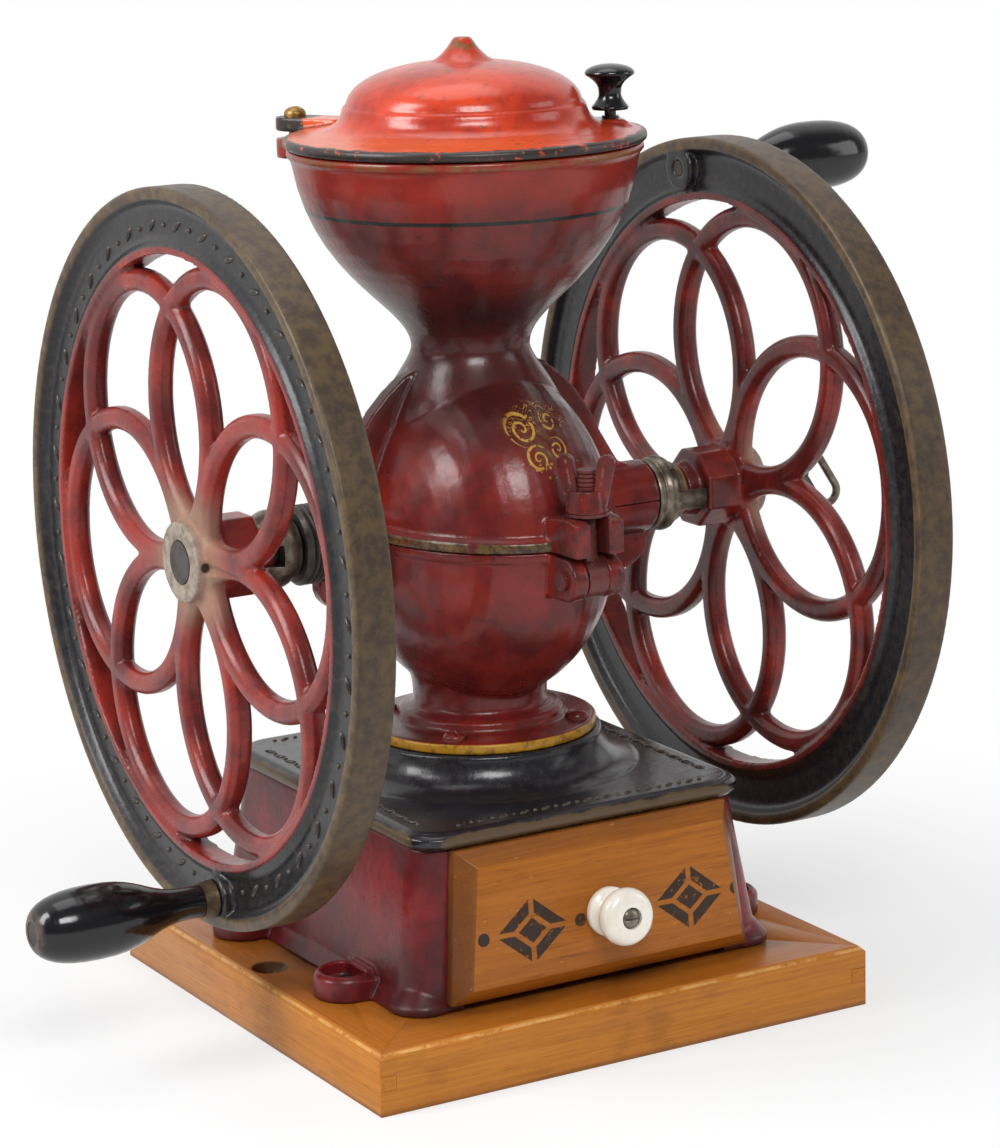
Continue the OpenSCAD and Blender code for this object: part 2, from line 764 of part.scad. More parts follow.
// Carries what is built at a reach from the centre to the hinge behind
module at_hinge() {
    rotate([0, 0, clamp_at + 180]) translate([hinge_reach, 0, 0]) children();
}

// A disc that lies across the radius, for knuckles and eyes
module knuckle(r, from, to, z) {
    translate([0, to, z]) rotate([90, 0, 0]) cylinder(h = to - from, r = r);
}

// Both cheeks of the clamp below the seam
module clamp_cheeks() {
    for (s = [-1, 1]) {
        a = s > 0 ? eye_t / 2 + free_gap : -eye_t / 2 - free_gap - cheek_t;
        knuckle(knuckle_r, a, a + cheek_t, clamp_pin_z);
        translate([-clamp_root, a, clamp_pin_z - knuckle_r]) cube([clamp_root, cheek_t, 2 * knuckle_r]);
    }
}

// The slotted lug above the seam, crowned so that the bolt can swing out
module clamp_lug() {
    intersection() {
        translate([-clamp_root, -eye_t / 2 - cheek_t, shaft_z + seat_gap])
            cube([clamp_root + knuckle_r + 0.6, eye_t + 2 * cheek_t, lug_t + over]);
        knuckle(crown_r, -eye_t - cheek_t, eye_t + cheek_t, clamp_pin_z);
    }
}

module clamp_slot() {
    translate([-slot_half - 0.4, -slot_half, clamp_pin_z - 2])
        cube([30, 2 * slot_half, lug_t + clamp_drop + 6]);
}

// Room in the housing for the swing bolt's eye
module eye_room() {
    knuckle(knuckle_r + free_gap, -eye_t / 2 - free_gap, eye_t / 2 + free_gap, clamp_pin_z);
}

module lower_housing() {
    color("#8c2022") difference() {
        union() {
            difference() {
                union() {
                    intersection() {
                        round_body(0);
                        seam_half(false);
                    }
                    rotate_extrude($fn = fine) polygon(concat([[0, flange_z + seat_gap]], low_neck,
                        [[0, low_join + 12]]));
                    seam_bead(1, shaft_z - 3.4, shaft_z - seat_gap);
                    lower_fin(boss_right);
                    mirror([1, 0, 0]) lower_fin(boss_left);
                    at_clamp() clamp_cheeks();
                    at_hinge() for (s = [-1, 1]) {
                        a = s > 0 ? hinge_eye_t / 2 + free_gap : -hinge_eye_t / 2 - free_gap - 5;
                        knuckle(knuckle_r - 1, a, a + 5, shaft_z);
                        translate([-hinge_root, a, shaft_z - 9]) cube([hinge_root + 3, 5, 9 - seat_gap]);
                    }
                }
                round_body(-globe_wall);
                translate([0, 0, flange_z - over])
                    cylinder(h = globe_z - flange_z - 20, r = low_neck_r - globe_wall, $fn = fine);
            }
            intersection() {
                union() {
                    bar_x(boss_r, boss_in, boss_right);
                    bar_x(boss_r, -boss_left, -boss_in);
                    bar_x(nose_r, boss_right - over, nut_end - nut_lip - free_gap);
                }
                translate([-150, -40, shaft_z - 60]) cube([300, 80, 60 - seat_gap]);
            }
            for (s = [-1, 1]) translate([burr_fixed_at - 8, s > 0 ? ledge_in : -ledge_in - 9.5,
                shaft_z - seat_gap - bar_t - 5]) cube([8, 9.5, 5]);
        }
        shaft_space();
        flange_screw_holes(flange_screw_r + seat_gap);
        at_flange_screws() translate([0, 0, flange_top]) cylinder(h = 4, r = 4.6);
        at_clamp() {
            eye_room();
            knuckle(pin_r + seat_gap, -20, 20, clamp_pin_z);
        }
        at_hinge() {
            knuckle(knuckle_r + free_gap, -hinge_eye_t / 2 - free_gap, hinge_eye_t / 2 + free_gap, shaft_z);
            knuckle(pin_r + seat_gap, -20, 20, shaft_z);
        }
        for (s = [-1, 1]) translate([burr_fixed_at - 4, s * (ledge_in + 2.4), shaft_z - bar_t - 6])
            cylinder(h = 8, r = 1.2 + seat_gap, $fn = 32);
    }
}

module upper_housing() {
    color("#93231f") difference() {
        union() {
            difference() {
                union() {
                    intersection() {
                        round_body(0);
                        seam_half(true);
                    }
                    rotate_extrude($fn = fine) polygon(concat([[0, neck_foot_z]], neck_flare, bowl,
                        rim_profile, [[0, hopper_z]]));
                    seam_bead(2, shaft_z + seat_gap, shaft_z + 3.6);
                    seam_bead(1, shaft_z + 3.6 - eps, shaft_z + 4.8);
                    upper_fin(boss_right);
                    mirror([1, 0, 0]) upper_fin(boss_left);
                    at_clamp() clamp_lug();
                    at_hinge() {
                        knuckle(knuckle_r - 1, -hinge_eye_t / 2, hinge_eye_t / 2, shaft_z);
                        translate([-hinge_root, -hinge_eye_t / 2, shaft_z + seat_gap])
                            cube([hinge_root + 3, hinge_eye_t, 7]);
                    }
                    rotate([0, 0, pivot_at]) {
                        translate([pivot_reach, 0, hop_lug_top - hop_lug_t])
                            cylinder(h = hop_lug_t, r = pivot_lug_r);
                        translate([hopper_r - 8, -pivot_lug_r, hop_lug_top - hop_lug_t])
                            cube([pivot_reach - hopper_r + 8, 2 * pivot_lug_r, hop_lug_t]);
                    }
                }
                round_body(-globe_wall);
                rotate_extrude($fn = fine) polygon(concat([[0, neck_foot_z - 12]],
                    inset(neck_flare, globe_wall), bowl_in,
                    [[hopper_r - hopper_wall, hopper_z + over], [0, hopper_z + over]]));
                rotate([0, 0, pivot_at]) translate([pivot_reach, 0, hop_lug_top - hop_lug_t + 1.5])
                    cylinder(h = hop_lug_t + 4, r = pivot_r + run_gap);
            }
            intersection() {
                union() {
                    bar_x(boss_r, boss_in, boss_right);
                    bar_x(boss_r, -boss_left, -boss_in);
                    bar_x(nose_r, boss_right - over, nut_end - nut_lip - free_gap);
                }
                translate([-150, -40, shaft_z + seat_gap]) cube([300, 80, 60]);
            }
        }
        shaft_space();
        at_clamp() clamp_slot();
        at_hinge() {
            knuckle(pin_r + run_gap, -20, 20, shaft_z);
            for (s = [-1, 1]) knuckle(knuckle_r - 1 + free_gap,
                s > 0 ? hinge_eye_t / 2 : -hinge_eye_t / 2 - 5.6,
                s > 0 ? hinge_eye_t / 2 + 5.6 : -hinge_eye_t / 2, shaft_z);
        }
    }
}

module flange_screws() {
    color("#97241f") at_flange_screws() translate([0, 0, flange_top + 0.1])
        rotate([0, 0, 30]) round_screw(flange_screw_r, flange_top - plate_z - 1, 4.4, 3.4);
}

module hinge_pin() {
    color("#55504a") at_hinge() {
        knuckle(pin_r, -hinge_eye_t / 2 - 5.6, hinge_eye_t / 2 + 5.6, shaft_z);
    }
}

module clamp_pin() {
    color("#8c2022") at_clamp() {
        knuckle(pin_r, -eye_t / 2 - cheek_t - 1, eye_t / 2 + cheek_t + 1, clamp_pin_z);
        knuckle(pin_r + 1, -eye_t / 2 - cheek_t - 2, -eye_t / 2 - cheek_t - free_gap, clamp_pin_z);
    }
}

module clamp_bolt() {
    color("#5c2a24") at_clamp() difference() {
        union() {
            knuckle(knuckle_r - 0.4, -eye_t / 2, eye_t / 2, clamp_pin_z);
            translate([0, 0, clamp_pin_z]) cylinder(h = bolt_top - clamp_pin_z, r = clamp_bolt_r);
        }
        knuckle(pin_r + run_gap, -10, 10, clamp_pin_z);
        for (k = [0:9]) translate([0, 0, lug_top + 1.4 + k * 1.6]) rotate_extrude()
            polygon([[clamp_bolt_r - 0.5, 0], [clamp_bolt_r + over, -0.8], [clamp_bolt_r + over, 0.8]]);
    }
}

washer_z = crown_r + clamp_pin_z + free_gap;
washer_t = 1.2;
module clamp_washer() {
    color("#6a655c") at_clamp() translate([0, 0, washer_z]) difference() {
        cylinder(h = washer_t, r = nut_block_r);
        translate([0, 0, -over]) cylinder(h = washer_t + 2 * over, r = clamp_bolt_r + free_gap);
    }
}

module wing_nut() {
    base = washer_z + washer_t + 0.1;
    color("#8f211c") at_clamp() translate([0, 0, base]) rotate([0, 0, wing_turn]) difference() {
        union() {
            cylinder(h = nut_block_h, r1 = nut_block_r, r2 = nut_block_r - 1.4);
            for (s = [-1, 1]) {
                hull() {
                    translate([s * (nut_block_r - 3), 2, 3]) rotate([90, 0, 0])
                        cylinder(h = 4, r = 2.6, $fn = hull_fn);
                    translate([s * (wing_reach - 3.2), 1.6, wing_h - 3.2]) rotate([90, 0, 0])
                        cylinder(h = 3.2, r = 3.2, $fn = hull_fn);
                }
            }
        }
        translate([0, 0, -over]) cylinder(h = wing_h + 2 * over, r = clamp_bolt_r + run_gap);
    }
}

// Outer profile of the lid from its underside up to the tip of the finial
lid_out = concat([[lid_r - 0.6, lid_z], [lid_r, lid_z + 0.8], [lid_r, lid_z + lid_edge - 0.8],
    [lid_r - 0.8, lid_z + lid_edge], [lid_r - 10, lid_z + lid_edge + 1.4]],
    curve([dome_r + 7, lid_z + lid_edge + 2.4], [dome_r + 2, lid_z + lid_edge + 3.4],
        [dome_r, lid_z + lid_edge + 6], [dome_r - 0.6, lid_z + step_h - 0.8], 5),
    [[dome_r - 1, lid_z + step_h]],
    curve([dome_r - 2.1, lid_z + step_h + 0.5], [dome_r - 2.6, lid_z + step_h + 6],
        [dome_r - 10, lid_z + dome_h - 2.4],
        [14, lid_z + dome_h], 14),
    curve([12, lid_z + dome_h + 0.2], [8.5, lid_z + dome_h + 1.4], [6, lid_z + dome_h + 4.6],
        [3.7, lid_z + dome_h + finial_h - 0.9], 6),
    [[2.9, lid_z + dome_h + finial_h], [0, lid_z + dome_h + finial_h]]);
lid_in = concat([[lid_r - 7, lid_z - over], [lid_r - 7, lid_z + 0.8], [dome_r + 3, lid_z + 2.2]],
    [[dome_r - lid_wall - 1, lid_z + 8]],
    arc(0, lid_z + step_h - 1, dome_r - 3.4 - lid_wall, dome_h - step_h + 1 - lid_wall, 0, 90, 12));

// Lug of the lid over the pivot screw
module lid_lug() {
    rotate([0, 0, pivot_at]) {
        translate([pivot_reach, 0, lid_lug_z]) cylinder(h = lid_lug_t, r = pivot_lug_r);
        translate([dome_r + 6, -pivot_lug_r, lid_lug_z])
            cube([pivot_reach - dome_r - 6, 2 * pivot_lug_r, lid_lug_t]);
    }
}

// Boss on the lid that carries the knob's stem
module stem_boss() {
    rotate([0, 0, lid_knob_at]) translate([lid_knob_reach, 0, lid_z + 1.6]) {
        translate([-6.5, -9, 0]) cube([13, 18, 3.6]);
        translate([-5, -7.4, 0]) cube([10, 14.8, 5.2]);
    }
}

module lid() {
    color("#d4482a") difference() {
        union() {
            rotate_extrude($fn = fine) polygon(concat([[0, lid_z]], lid_out));
            lid_lug();
            stem_boss();
        }
        rotate_extrude($fn = fine) polygon(concat([[0, lid_z - over]], lid_in));
        rotate([0, 0, pivot_at]) translate([pivot_reach, 0, lid_z]) cylinder(h = 14, r = pivot_r + run_gap);
        rotate([0, 0, lid_knob_at]) translate([lid_knob_reach, 0, lid_z - over])
            cylinder(h = 14, r = stem_r + seat_gap);
    }
}

module lid_knob_stem() {
    color("#1c1a19") rotate([0, 0, lid_knob_at]) translate([lid_knob_reach, 0, 0]) {
        translate([0, 0, lid_z + 1.2]) cylinder(h = lid_knob_z + 10 - lid_z - 1.2, r = stem_r);
        translate([0, 0, lid_z + 1.6 + 5.2 + seat_gap]) cylinder(h = 1, r = stem_r + 1);
    }
}

module lid_knob() {
    color("#141416") rotate([0, 0, lid_knob_at]) translate([lid_knob_reach, 0, lid_knob_z]) difference() {
        rotate_extrude($fn = 64) polygon(concat([[0, 0], [6.6, 0], [7, 0.8]],
            curve([6.8, 1.2], [5, 3.4], [4.2, 4.6], [4.2, 6], 4),
            curve([4.4, 8], [5, 10.4], [7.4, 11.6], [lid_knob_r - 0.2, 13], 5),
            arc(0, 13.4, lid_knob_r, lid_knob_h - 13.4, 5, 90, 8)));
        translate([0, 0, -over]) cylinder(h = 10 + over + seat_gap, r = stem_r + seat_gap);
    }
}

module lid_pivot_screw() {
    color("#8d8460") rotate([0, 0, pivot_at]) translate([pivot_reach, 0, lid_lug_z + lid_lug_t + seat_gap])
        round_screw(pivot_r, lid_lug_z + lid_lug_t - hop_lug_top + hop_lug_t - 1.6, 4.2, pivot_head_h);
}

module shaft() {
    color("#8a8a8c") difference() {
        bar_x(shaft_r, -hub_out, hub_out);
        bar_x(3.2 + seat_gap, hub_out - screw_in - 1, hub_out + over);
        translate([burr_turn_at - 3, -1.5 - seat_gap, shaft_z + shaft_r - 2.2])
            cube([burr_t + 3, 3 + 2 * seat_gap, 4]);
    }
}

// A plain bush in a bearing
module bush(from, to) {
    difference() {
        bar_x(bush_r, from, to);
        bar_x(shaft_r + run_gap, from - over, to + over);
    }
}

module left_bush() {
    color("#a8834a") bush(-collar_at - 4, -boss_in);
}

module right_bush() {
    color("#a8834a") bush(boss_in, nut_end - nut_lip - 2 * free_gap);
}

module feed_chute() {
    x1 = chute_flange_at;
    color("#5d5a57") difference() {
        union() {
            intersection() {
                bar_x(chute_r + chute_wall, chute_at, x1 + eps);
                translate([-60, -40, shaft_z - 40]) cube([120, 80, 40]);
            }
            translate([chute_at, -chute_r - chute_wall, shaft_z]) cube([x1 - chute_at + eps,
                2 * (chute_r + chute_wall), chute_top - shaft_z]);
            bar_x(chute_flange_r, x1, burr_fixed_at);
            translate([burr_fixed_at - 8, -bar_half, shaft_z - bar_t])
                cube([8, 2 * bar_half, bar_t - 2 * seat_gap]);
        }
        bar_x(chute_r, chute_at + chute_wall, burr_fixed_at + over);
        translate([chute_at + chute_wall, -chute_r, shaft_z]) cube([x1 - chute_at - chute_wall, 2 * chute_r,
            chute_top - shaft_z + over]);
        bar_x(shaft_r + 1, chute_at - over, chute_at + chute_wall + over);
        for (s = [-1, 1]) translate([burr_fixed_at - 4, s * (ledge_in + 2.4), shaft_z - bar_t - 1])
            cylinder(h = 8, r = 1.2 + seat_gap, $fn = 32);
    }
}

module chute_screws() {
    color("#6f6b64") for (s = [-1, 1])
        translate([burr_fixed_at - 4, s * (ledge_in + 2.4), shaft_z - seat_gap])
        round_screw(1.2, bar_t + 4, 2.2, 1.2);
}

module feed_worm() {
    core = shaft_r + 0.4;
    color("#74716c") difference() {
        translate([chute_at + chute_wall + 1.2, 0, shaft_z]) along_x()
            linear_extrude(height = worm_l, twist = 360 * worm_turns, slices = 22 * worm_turns, $fn = 26)
            translate([1.6, 0]) circle(r = worm_r - 1.6);
        bar_x(core, chute_at, burr_fixed_at + 8);
    }
}

// Radial grooves of a burr
module burr_grooving(x) {
    for (k = [0:burr_grooves - 1]) translate([x, 0, shaft_z]) rotate([k * 360 / burr_grooves + 6, 0, 0])
        translate([-1.1, -1, worm_r + 5]) cube([2.2, 2, burr_r]);
}

module fixed_burr() {
    x0 = burr_fixed_at + seat_gap;
    color("#6b6864") difference() {
        bar_x(burr_r, x0, x0 + burr_t);
        turned_x([[0, x0 - over], [worm_r + 1, x0 - over], [worm_r + 1, x0], [worm_r + 5, x0 + burr_t],
            [worm_r + 5, x0 + burr_t + over], [0, x0 + burr_t + over]]);
        burr_grooving(x0 + burr_t);
    }
}

module turning_burr() {
    color("#726f6a") difference() {
        union() {
            bar_x(burr_r, burr_turn_at, burr_turn_at + burr_t);
            bar_x(shaft_r + 4, burr_turn_at, burr_turn_at + burr_t + 5);
        }
        bar_x(shaft_r + seat_gap, burr_turn_at - over, burr_turn_at + burr_t + 5 + over);
        translate([burr_turn_at - over, -1.5 - seat_gap, shaft_z])
            cube([burr_t + over, 3 + 2 * seat_gap, shaft_r + 2]);
        burr_grooving(burr_turn_at);
    }
}

module burr_key() {
    color("#56534e") translate([burr_turn_at - 2.6, -1.5, shaft_z + shaft_r - 2.1])
        cube([burr_t + 2, 3, 3.8]);
}

module thread_collar() {
    color("#2c2b2a") difference() {
        turned_x(concat([[shaft_r + 2.7, -collar_at - collar_l], [collar_r - 1.4, -collar_at - collar_l],
            [collar_r, -collar_at - collar_l + 1.4]],
            [for (k = [0:2]) each [[collar_r, -collar_at - 7.2 + 2.2 * k],
                [collar_r - 1.1, -collar_at - 6.4 + 2.2 * k],
                [collar_r, -collar_at - 5.6 + 2.2 * k]]],
            [[collar_r, -collar_at], [shaft_r + 2.7, -collar_at]]));
        bar_x(shaft_r + 1, -collar_at - 12, -collar_at + over);
    }
}

module left_ball_nut() {
    mid = ball_at + ball_l / 2;
    color("#8b877c") difference() {
        turned_x(concat([[shaft_r + seat_gap, -ball_at], [11.4, -ball_at]],
            [for (q = arc(0, 0, ball_l * 0.636, ball_r, 53, 127, 14)) [q[1], q[0] - mid + 0.6]],
            [[11.6, -ball_at - ball_l], [hub_nose_r + 0.4, -ball_at - ball_l],
            [hub_nose_r + 0.4, -ball_at - ball_l + ball_nose],
                [shaft_r + seat_gap, -ball_at - ball_l + ball_nose]]));
        for (s = [-1, 1]) translate([-ball_at - ball_l - over, s > 0 ? 0 : -20, shaft_z - 4])
            cube([8.6, 20, 8]);
        translate([-mid + 2, 0, shaft_z]) rotate([-60, 0, 0]) cylinder(h = 20, r = 1.6, $fn = 32);
    }
}

module adjusting_nut() {
    color("#8f8b80") {
        difference() {
            turned_x(concat([[nose_r + seat_gap, nut_at], [13.4, nut_at], [13.8, nut_at + 1],
                [13.4, nut_at + 2.6]],
                [for (q = arc(0, 0, nut_l * 0.62, nut_r, 116, 60, 12)) [q[1], q[0] + nut_at + nut_l * 0.5]],
                [[11.8, nut_end], [shaft_r + 0.6, nut_end], [shaft_r + 0.6, nut_end - nut_lip],
                [nose_r + seat_gap, nut_end - nut_lip]]));
            for (k = [0:3]) translate([nut_end - 6, 0, shaft_z]) rotate([k * 90 + 50, 0, 0])
                translate([0, -2.2, nose_r + 1.4]) cube([7, 4.4, 6]);
        }
        intersection() {
            bar_x(14.4, nut_end - nut_lip, nut_end + tooth_l);
            translate([nut_end - nut_lip, -15, shaft_z - 5.4]) cube([20, 15 - hub_nose_r - 0.7, 7.4]);
        }
    }
}

module thrust_washer() {
    color("#7b6a48") difference() {
        bar_x(10.4, thrust_at, thrust_at + thrust_t);
        bar_x(shaft_r + run_gap, thrust_at - over, thrust_at + thrust_t + over);
    }
}

// Section of the flywheel rim, as [radius, distance from the rim's middle]
half_w = wheel_w / 2;
rim_half = [[rim_in, 5.6], [rim_in + 3, 5.6], [rim_in + 5, web_t / 2 + 0.6], [rim_in + 6.5, web_t / 2],
    [wheel_r - 8, web_t / 2], [wheel_r - 6.6, web_t / 2 + 0.6], [wheel_r - 4.6, half_w - 0.4],
    [wheel_r - 4, half_w], [wheel_r - 0.7, half_w], [wheel_r, half_w - 0.7]];

// The interlaced rings of the spokes, eight-sided in section, the first one at an angle
module spoke_rings(first) {
    a = spoke_w / 2;
    b = spoke_t / 2;
    c = 2.2;
    for (k = [0:5]) rotate([0, 0, first + 60 * k]) translate([ring_reach, 0, 0]) rotate([0, 0, 7])
        rotate_extrude($fn = fine) polygon([[ring_r - a, -b + c], [ring_r - a + c, -b],
            [ring_r + a - c, -b], [ring_r + a, -b + c], [ring_r + a, b - c], [ring_r + a - c, b],
            [ring_r - a + c, b], [ring_r - a, b - c]]);
}

// A flywheel lying flat on its middle plane, with its outer side up
module wheel(hub_in, step_in, crank) {
    intersection() {
        spoke_rings(crank + 30);
        cylinder(h = 4 * spoke_t, r = rim_in + 4, center = true, $fn = fine);
    }
    rotate_extrude($fn = 144) polygon(concat(rim_half, [for (q = back(rim_half)) [q[0], -q[1]]]));
    translate([0, 0, -wheel_mid + hub_in]) cylinder(h = wheel_mid - hub_in, r = hub_nose_r);
    translate([0, 0, -wheel_mid + step_in]) rotate([0, 0, 22.5]) linear_extrude(height = wheel_mid - step_in)
        polygon([for (i = [0:7]) [(hub_r + 1) * cos(45 * i), (hub_r + 1) * sin(45 * i)]]);
    cylinder(h = hub_out - wheel_mid, r = hub_r);
    cylinder(h = spoke_t - 1, r = hub_r + 2, center = true);
    rotate([0, 0, crank + 180]) translate([-crank_r, 0, 0]) cylinder(h = wheel_w, r = 9, center = true);
}

// Bores of a flywheel that lies flat
module wheel_bores(hub_in, crank) {
    translate([0, 0, -wheel_mid + hub_in - over])
        cylinder(h = hub_out - hub_in + 2 * over, r = shaft_r + seat_gap);
    rotate([0, 0, crank]) translate([crank_r, 0, -wheel_w])
        cylinder(h = 2 * wheel_w, r = spindle_r + seat_gap);
}

// Stands a flat wheel up on the right of the mill, turned about the shaft by a degrees
module stand_right(a) {
    translate([wheel_mid, 0, shaft_z]) rotate([a, 0, 0]) rotate([90, 0, 90]) children();
}

// Stands a flat wheel up on the left of the mill
module stand_left(a) {
    mirror([1, 0, 0]) stand_right(a) children();
}

// Cut for the pin that locks a wheel to the shaft
module hub_pin_hole(s) {
    translate([s * (hub_out - 3.6), 0, shaft_z]) rotate([90, 0, 0])
        cylinder(h = 40, r = 1.7 + seat_gap, $fn = 32);
}

module left_wheel() {
    color("#33251c") difference() {
        stand_left(0) wheel(hub_left_in - 6.6, hub_left_in, crank_at);
        stand_left(0) wheel_bores(hub_left_in - 6.6, crank_at);
        hub_pin_hole(-1);
    }
}

module right_wheel() {
    color("#33251c") difference() {
        stand_right(0) wheel(nose_at, hub_step, crank_at + crank_turn);
        stand_right(0) wheel_bores(nose_at, crank_at + crank_turn);
        hub_pin_hole(1);
    }
}

module hub_pins() {
    color("#3a3733") for (s = [-1, 1])
        translate([s * (hub_out - 3.6), -shaft_r - 0.2, shaft_z]) rotate([90, 0, 0])
        cylinder(h = hub_r - shaft_r - 1.4, r = 1.7, $fn = 32);
}

loop_rx = 5;
loop_rz = 11.4;
loop_wire = 1.6;
loop_x = hub_out + loop_reach;
module regulating_screw() {
    color("#4d4a48") {
        bar_x(3.2, hub_out - screw_in, hub_out + 3);
        bar_x(5, hub_out + 0.4, hub_out + 4.4);
        bar_x(3, hub_out + 4, loop_x - 7);
        translate([loop_x, 0, shaft_z - 4.3]) rotate([90, -33, 0]) {
            for (s = [-1, 1]) translate([0, s * (loop_rz - loop_rx), 0]) rotate([0, 0, s > 0 ? 0 : 180])
                rotate_extrude(angle = 180, $fn = 48) translate([loop_rx, 0]) circle(r = loop_wire, $fn = 24);
            for (s = [-1, 1]) translate([s * loop_rx, -(loop_rz - loop_rx), 0]) rotate([-90, 0, 0])
                cylinder(h = 2 * (loop_rz - loop_rx), r = loop_wire, $fn = 24);
        }
    }
}

// Carries what is built along +Z from z = 0 to the outer face of the wheel at its handle
module at_crank_right() {
    stand_right(0) rotate([0, 0, crank_at + crank_turn]) translate([crank_r, 0, half_w]) children();
}

module at_crank_left() {
    stand_left(0) rotate([0, 0, crank_at]) translate([crank_r, 0, half_w]) children();
}

ferrule_l = 5;
grip_from = 0.6;
module spindle() {
    translate([0, 0, -wheel_w + 0.4]) cylinder(h = wheel_w + grip_from + grip_l - 1, r = spindle_r);
    translate([0, 0, grip_from + grip_l - 2.2]) cylinder(h = 2, r = spindle_r + 1.4);
}

module grip() {
    top = grip_from + grip_l;
    difference() {
        rotate_extrude($fn = 72) polygon(concat([[0, grip_from + ferrule_l + seat_gap],
            [grip_neck, grip_from + ferrule_l + seat_gap]],
            curve([grip_neck, grip_from + 12], [grip_neck + 0.6, grip_from + 26], [grip_r, grip_from + 28],
                [grip_r, grip_from + 47], 10),
            curve([grip_r, grip_from + 49], [grip_r, top - 9], [grip_r - 3, top - 2], [6, top], 8),
                [[0, top]]));
        translate([0, 0, -over]) cylinder(h = top + 2 * over, r = spindle_r + run_gap);
        translate([0, 0, top - 2.4]) cylinder(h = 4, r = spindle_r + 1.4 + run_gap);
    }
}

module ferrule() {
    difference() {
        translate([0, 0, grip_from]) cylinder(h = ferrule_l, r1 = grip_neck + 1.2, r2 = grip_neck + 0.5);
        translate([0, 0, -over]) cylinder(h = 10, r = spindle_r + run_gap);
    }
}

module left_spindle() {
    color("#6e6a62") at_crank_left() spindle();
}

module right_spindle() {
    color("#6e6a62") at_crank_right() spindle();
}

module left_grip() {
    color("#131315") at_crank_left() grip();
}

module right_grip() {
    color("#131315") at_crank_right() grip();
}

module left_ferrule() {
    color("#5d4a2f") at_crank_left() ferrule();
}

module right_ferrule() {
    color("#5d4a2f") at_crank_right() ferrule();
}

board_panel();
board_front_rail();
board_back_rail();
board_left_rail();
board_right_rail();
drawer_runners();
base_case();
top_plate();
foot_screws();
plate_screws();
drawer_front();
drawer_left_side();
drawer_right_side();
drawer_back();
drawer_bottom();
drawer_knob();
drawer_knob_screw();
lower_housing();
upper_housing();
flange_screws();
hinge_pin();
clamp_pin();
clamp_bolt();
clamp_washer();
wing_nut();
lid();
lid_knob();
lid_knob_stem();
lid_pivot_screw();
shaft();
left_bush();
right_bush();
feed_chute();
chute_screws();
feed_worm();
fixed_burr();
turning_burr();
burr_key();
thread_collar();
left_ball_nut();
adjusting_nut();
thrust_washer();
left_wheel();
right_wheel();
hub_pins();
regulating_screw();
left_spindle();
right_spindle();
left_grip();
right_grip();
left_ferrule();
right_ferrule();
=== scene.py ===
"""Looks of a counter coffee mill: cast iron under old paint, wood, steel and china.

Points are written in millimetres in the model's frame and become metres when a mesh is made.
"""
import json
import math

import bmesh
import bpy
from mathutils import Matrix, Vector


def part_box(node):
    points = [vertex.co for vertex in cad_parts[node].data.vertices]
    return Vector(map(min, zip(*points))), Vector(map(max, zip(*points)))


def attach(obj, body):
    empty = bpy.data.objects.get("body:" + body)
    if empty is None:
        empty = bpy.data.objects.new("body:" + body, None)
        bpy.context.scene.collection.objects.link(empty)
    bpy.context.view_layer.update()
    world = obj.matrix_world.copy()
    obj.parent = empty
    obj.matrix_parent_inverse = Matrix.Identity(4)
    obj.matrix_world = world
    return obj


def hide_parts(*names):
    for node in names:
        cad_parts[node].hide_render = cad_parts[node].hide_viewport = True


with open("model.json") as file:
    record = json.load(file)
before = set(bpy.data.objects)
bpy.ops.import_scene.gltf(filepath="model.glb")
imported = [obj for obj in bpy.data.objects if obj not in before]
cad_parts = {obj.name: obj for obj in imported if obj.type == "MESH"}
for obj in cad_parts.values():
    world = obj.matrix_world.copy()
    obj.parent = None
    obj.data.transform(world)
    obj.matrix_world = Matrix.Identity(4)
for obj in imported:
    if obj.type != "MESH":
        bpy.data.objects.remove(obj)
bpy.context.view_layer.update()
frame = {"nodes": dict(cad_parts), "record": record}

SCENE = bpy.context.scene
MM = 0.001
UP = Vector((0, 0, 1))


# Camera
AZIMUTH, ELEVATION, ROLL = math.radians(-29.88), math.radians(13.03), math.radians(-1.49)
CAMERA_REACH, CAMERA_AIM = 1394.27, Vector((10.24, 0, 161.61))
FOCAL_PIXELS, PHOTO_HEIGHT, SENSOR = 3636.25, 1148, 36.0


def set_camera():
    """The photograph's viewpoint."""
    back = Vector((math.sin(AZIMUTH) * math.cos(ELEVATION), -math.cos(AZIMUTH) * math.cos(ELEVATION),
                   math.sin(ELEVATION)))
    level = (-back).cross(UP).normalized()
    upright = level.cross(-back)
    right = level * math.cos(ROLL) + upright * math.sin(ROLL)
    top = upright * math.cos(ROLL) - level * math.sin(ROLL)
    data = bpy.data.cameras.new("camera")
    data.sensor_width = SENSOR
    data.lens = FOCAL_PIXELS / PHOTO_HEIGHT * SENSOR
    data.clip_start, data.clip_end = 0.1, 20
    camera = bpy.data.objects.new("camera", data)
    place = Matrix((right, top, back)).transposed().to_4x4()
    place.translation = (CAMERA_AIM + back * CAMERA_REACH) * MM
    camera.matrix_world = place
    SCENE.collection.objects.link(camera)
    SCENE.camera = camera


set_camera()


# Places read from the frame
def corners_of(node):
    """A CAD node's lowest and highest corners at rest."""
    return [[c / MM for c in corner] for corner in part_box(node)]


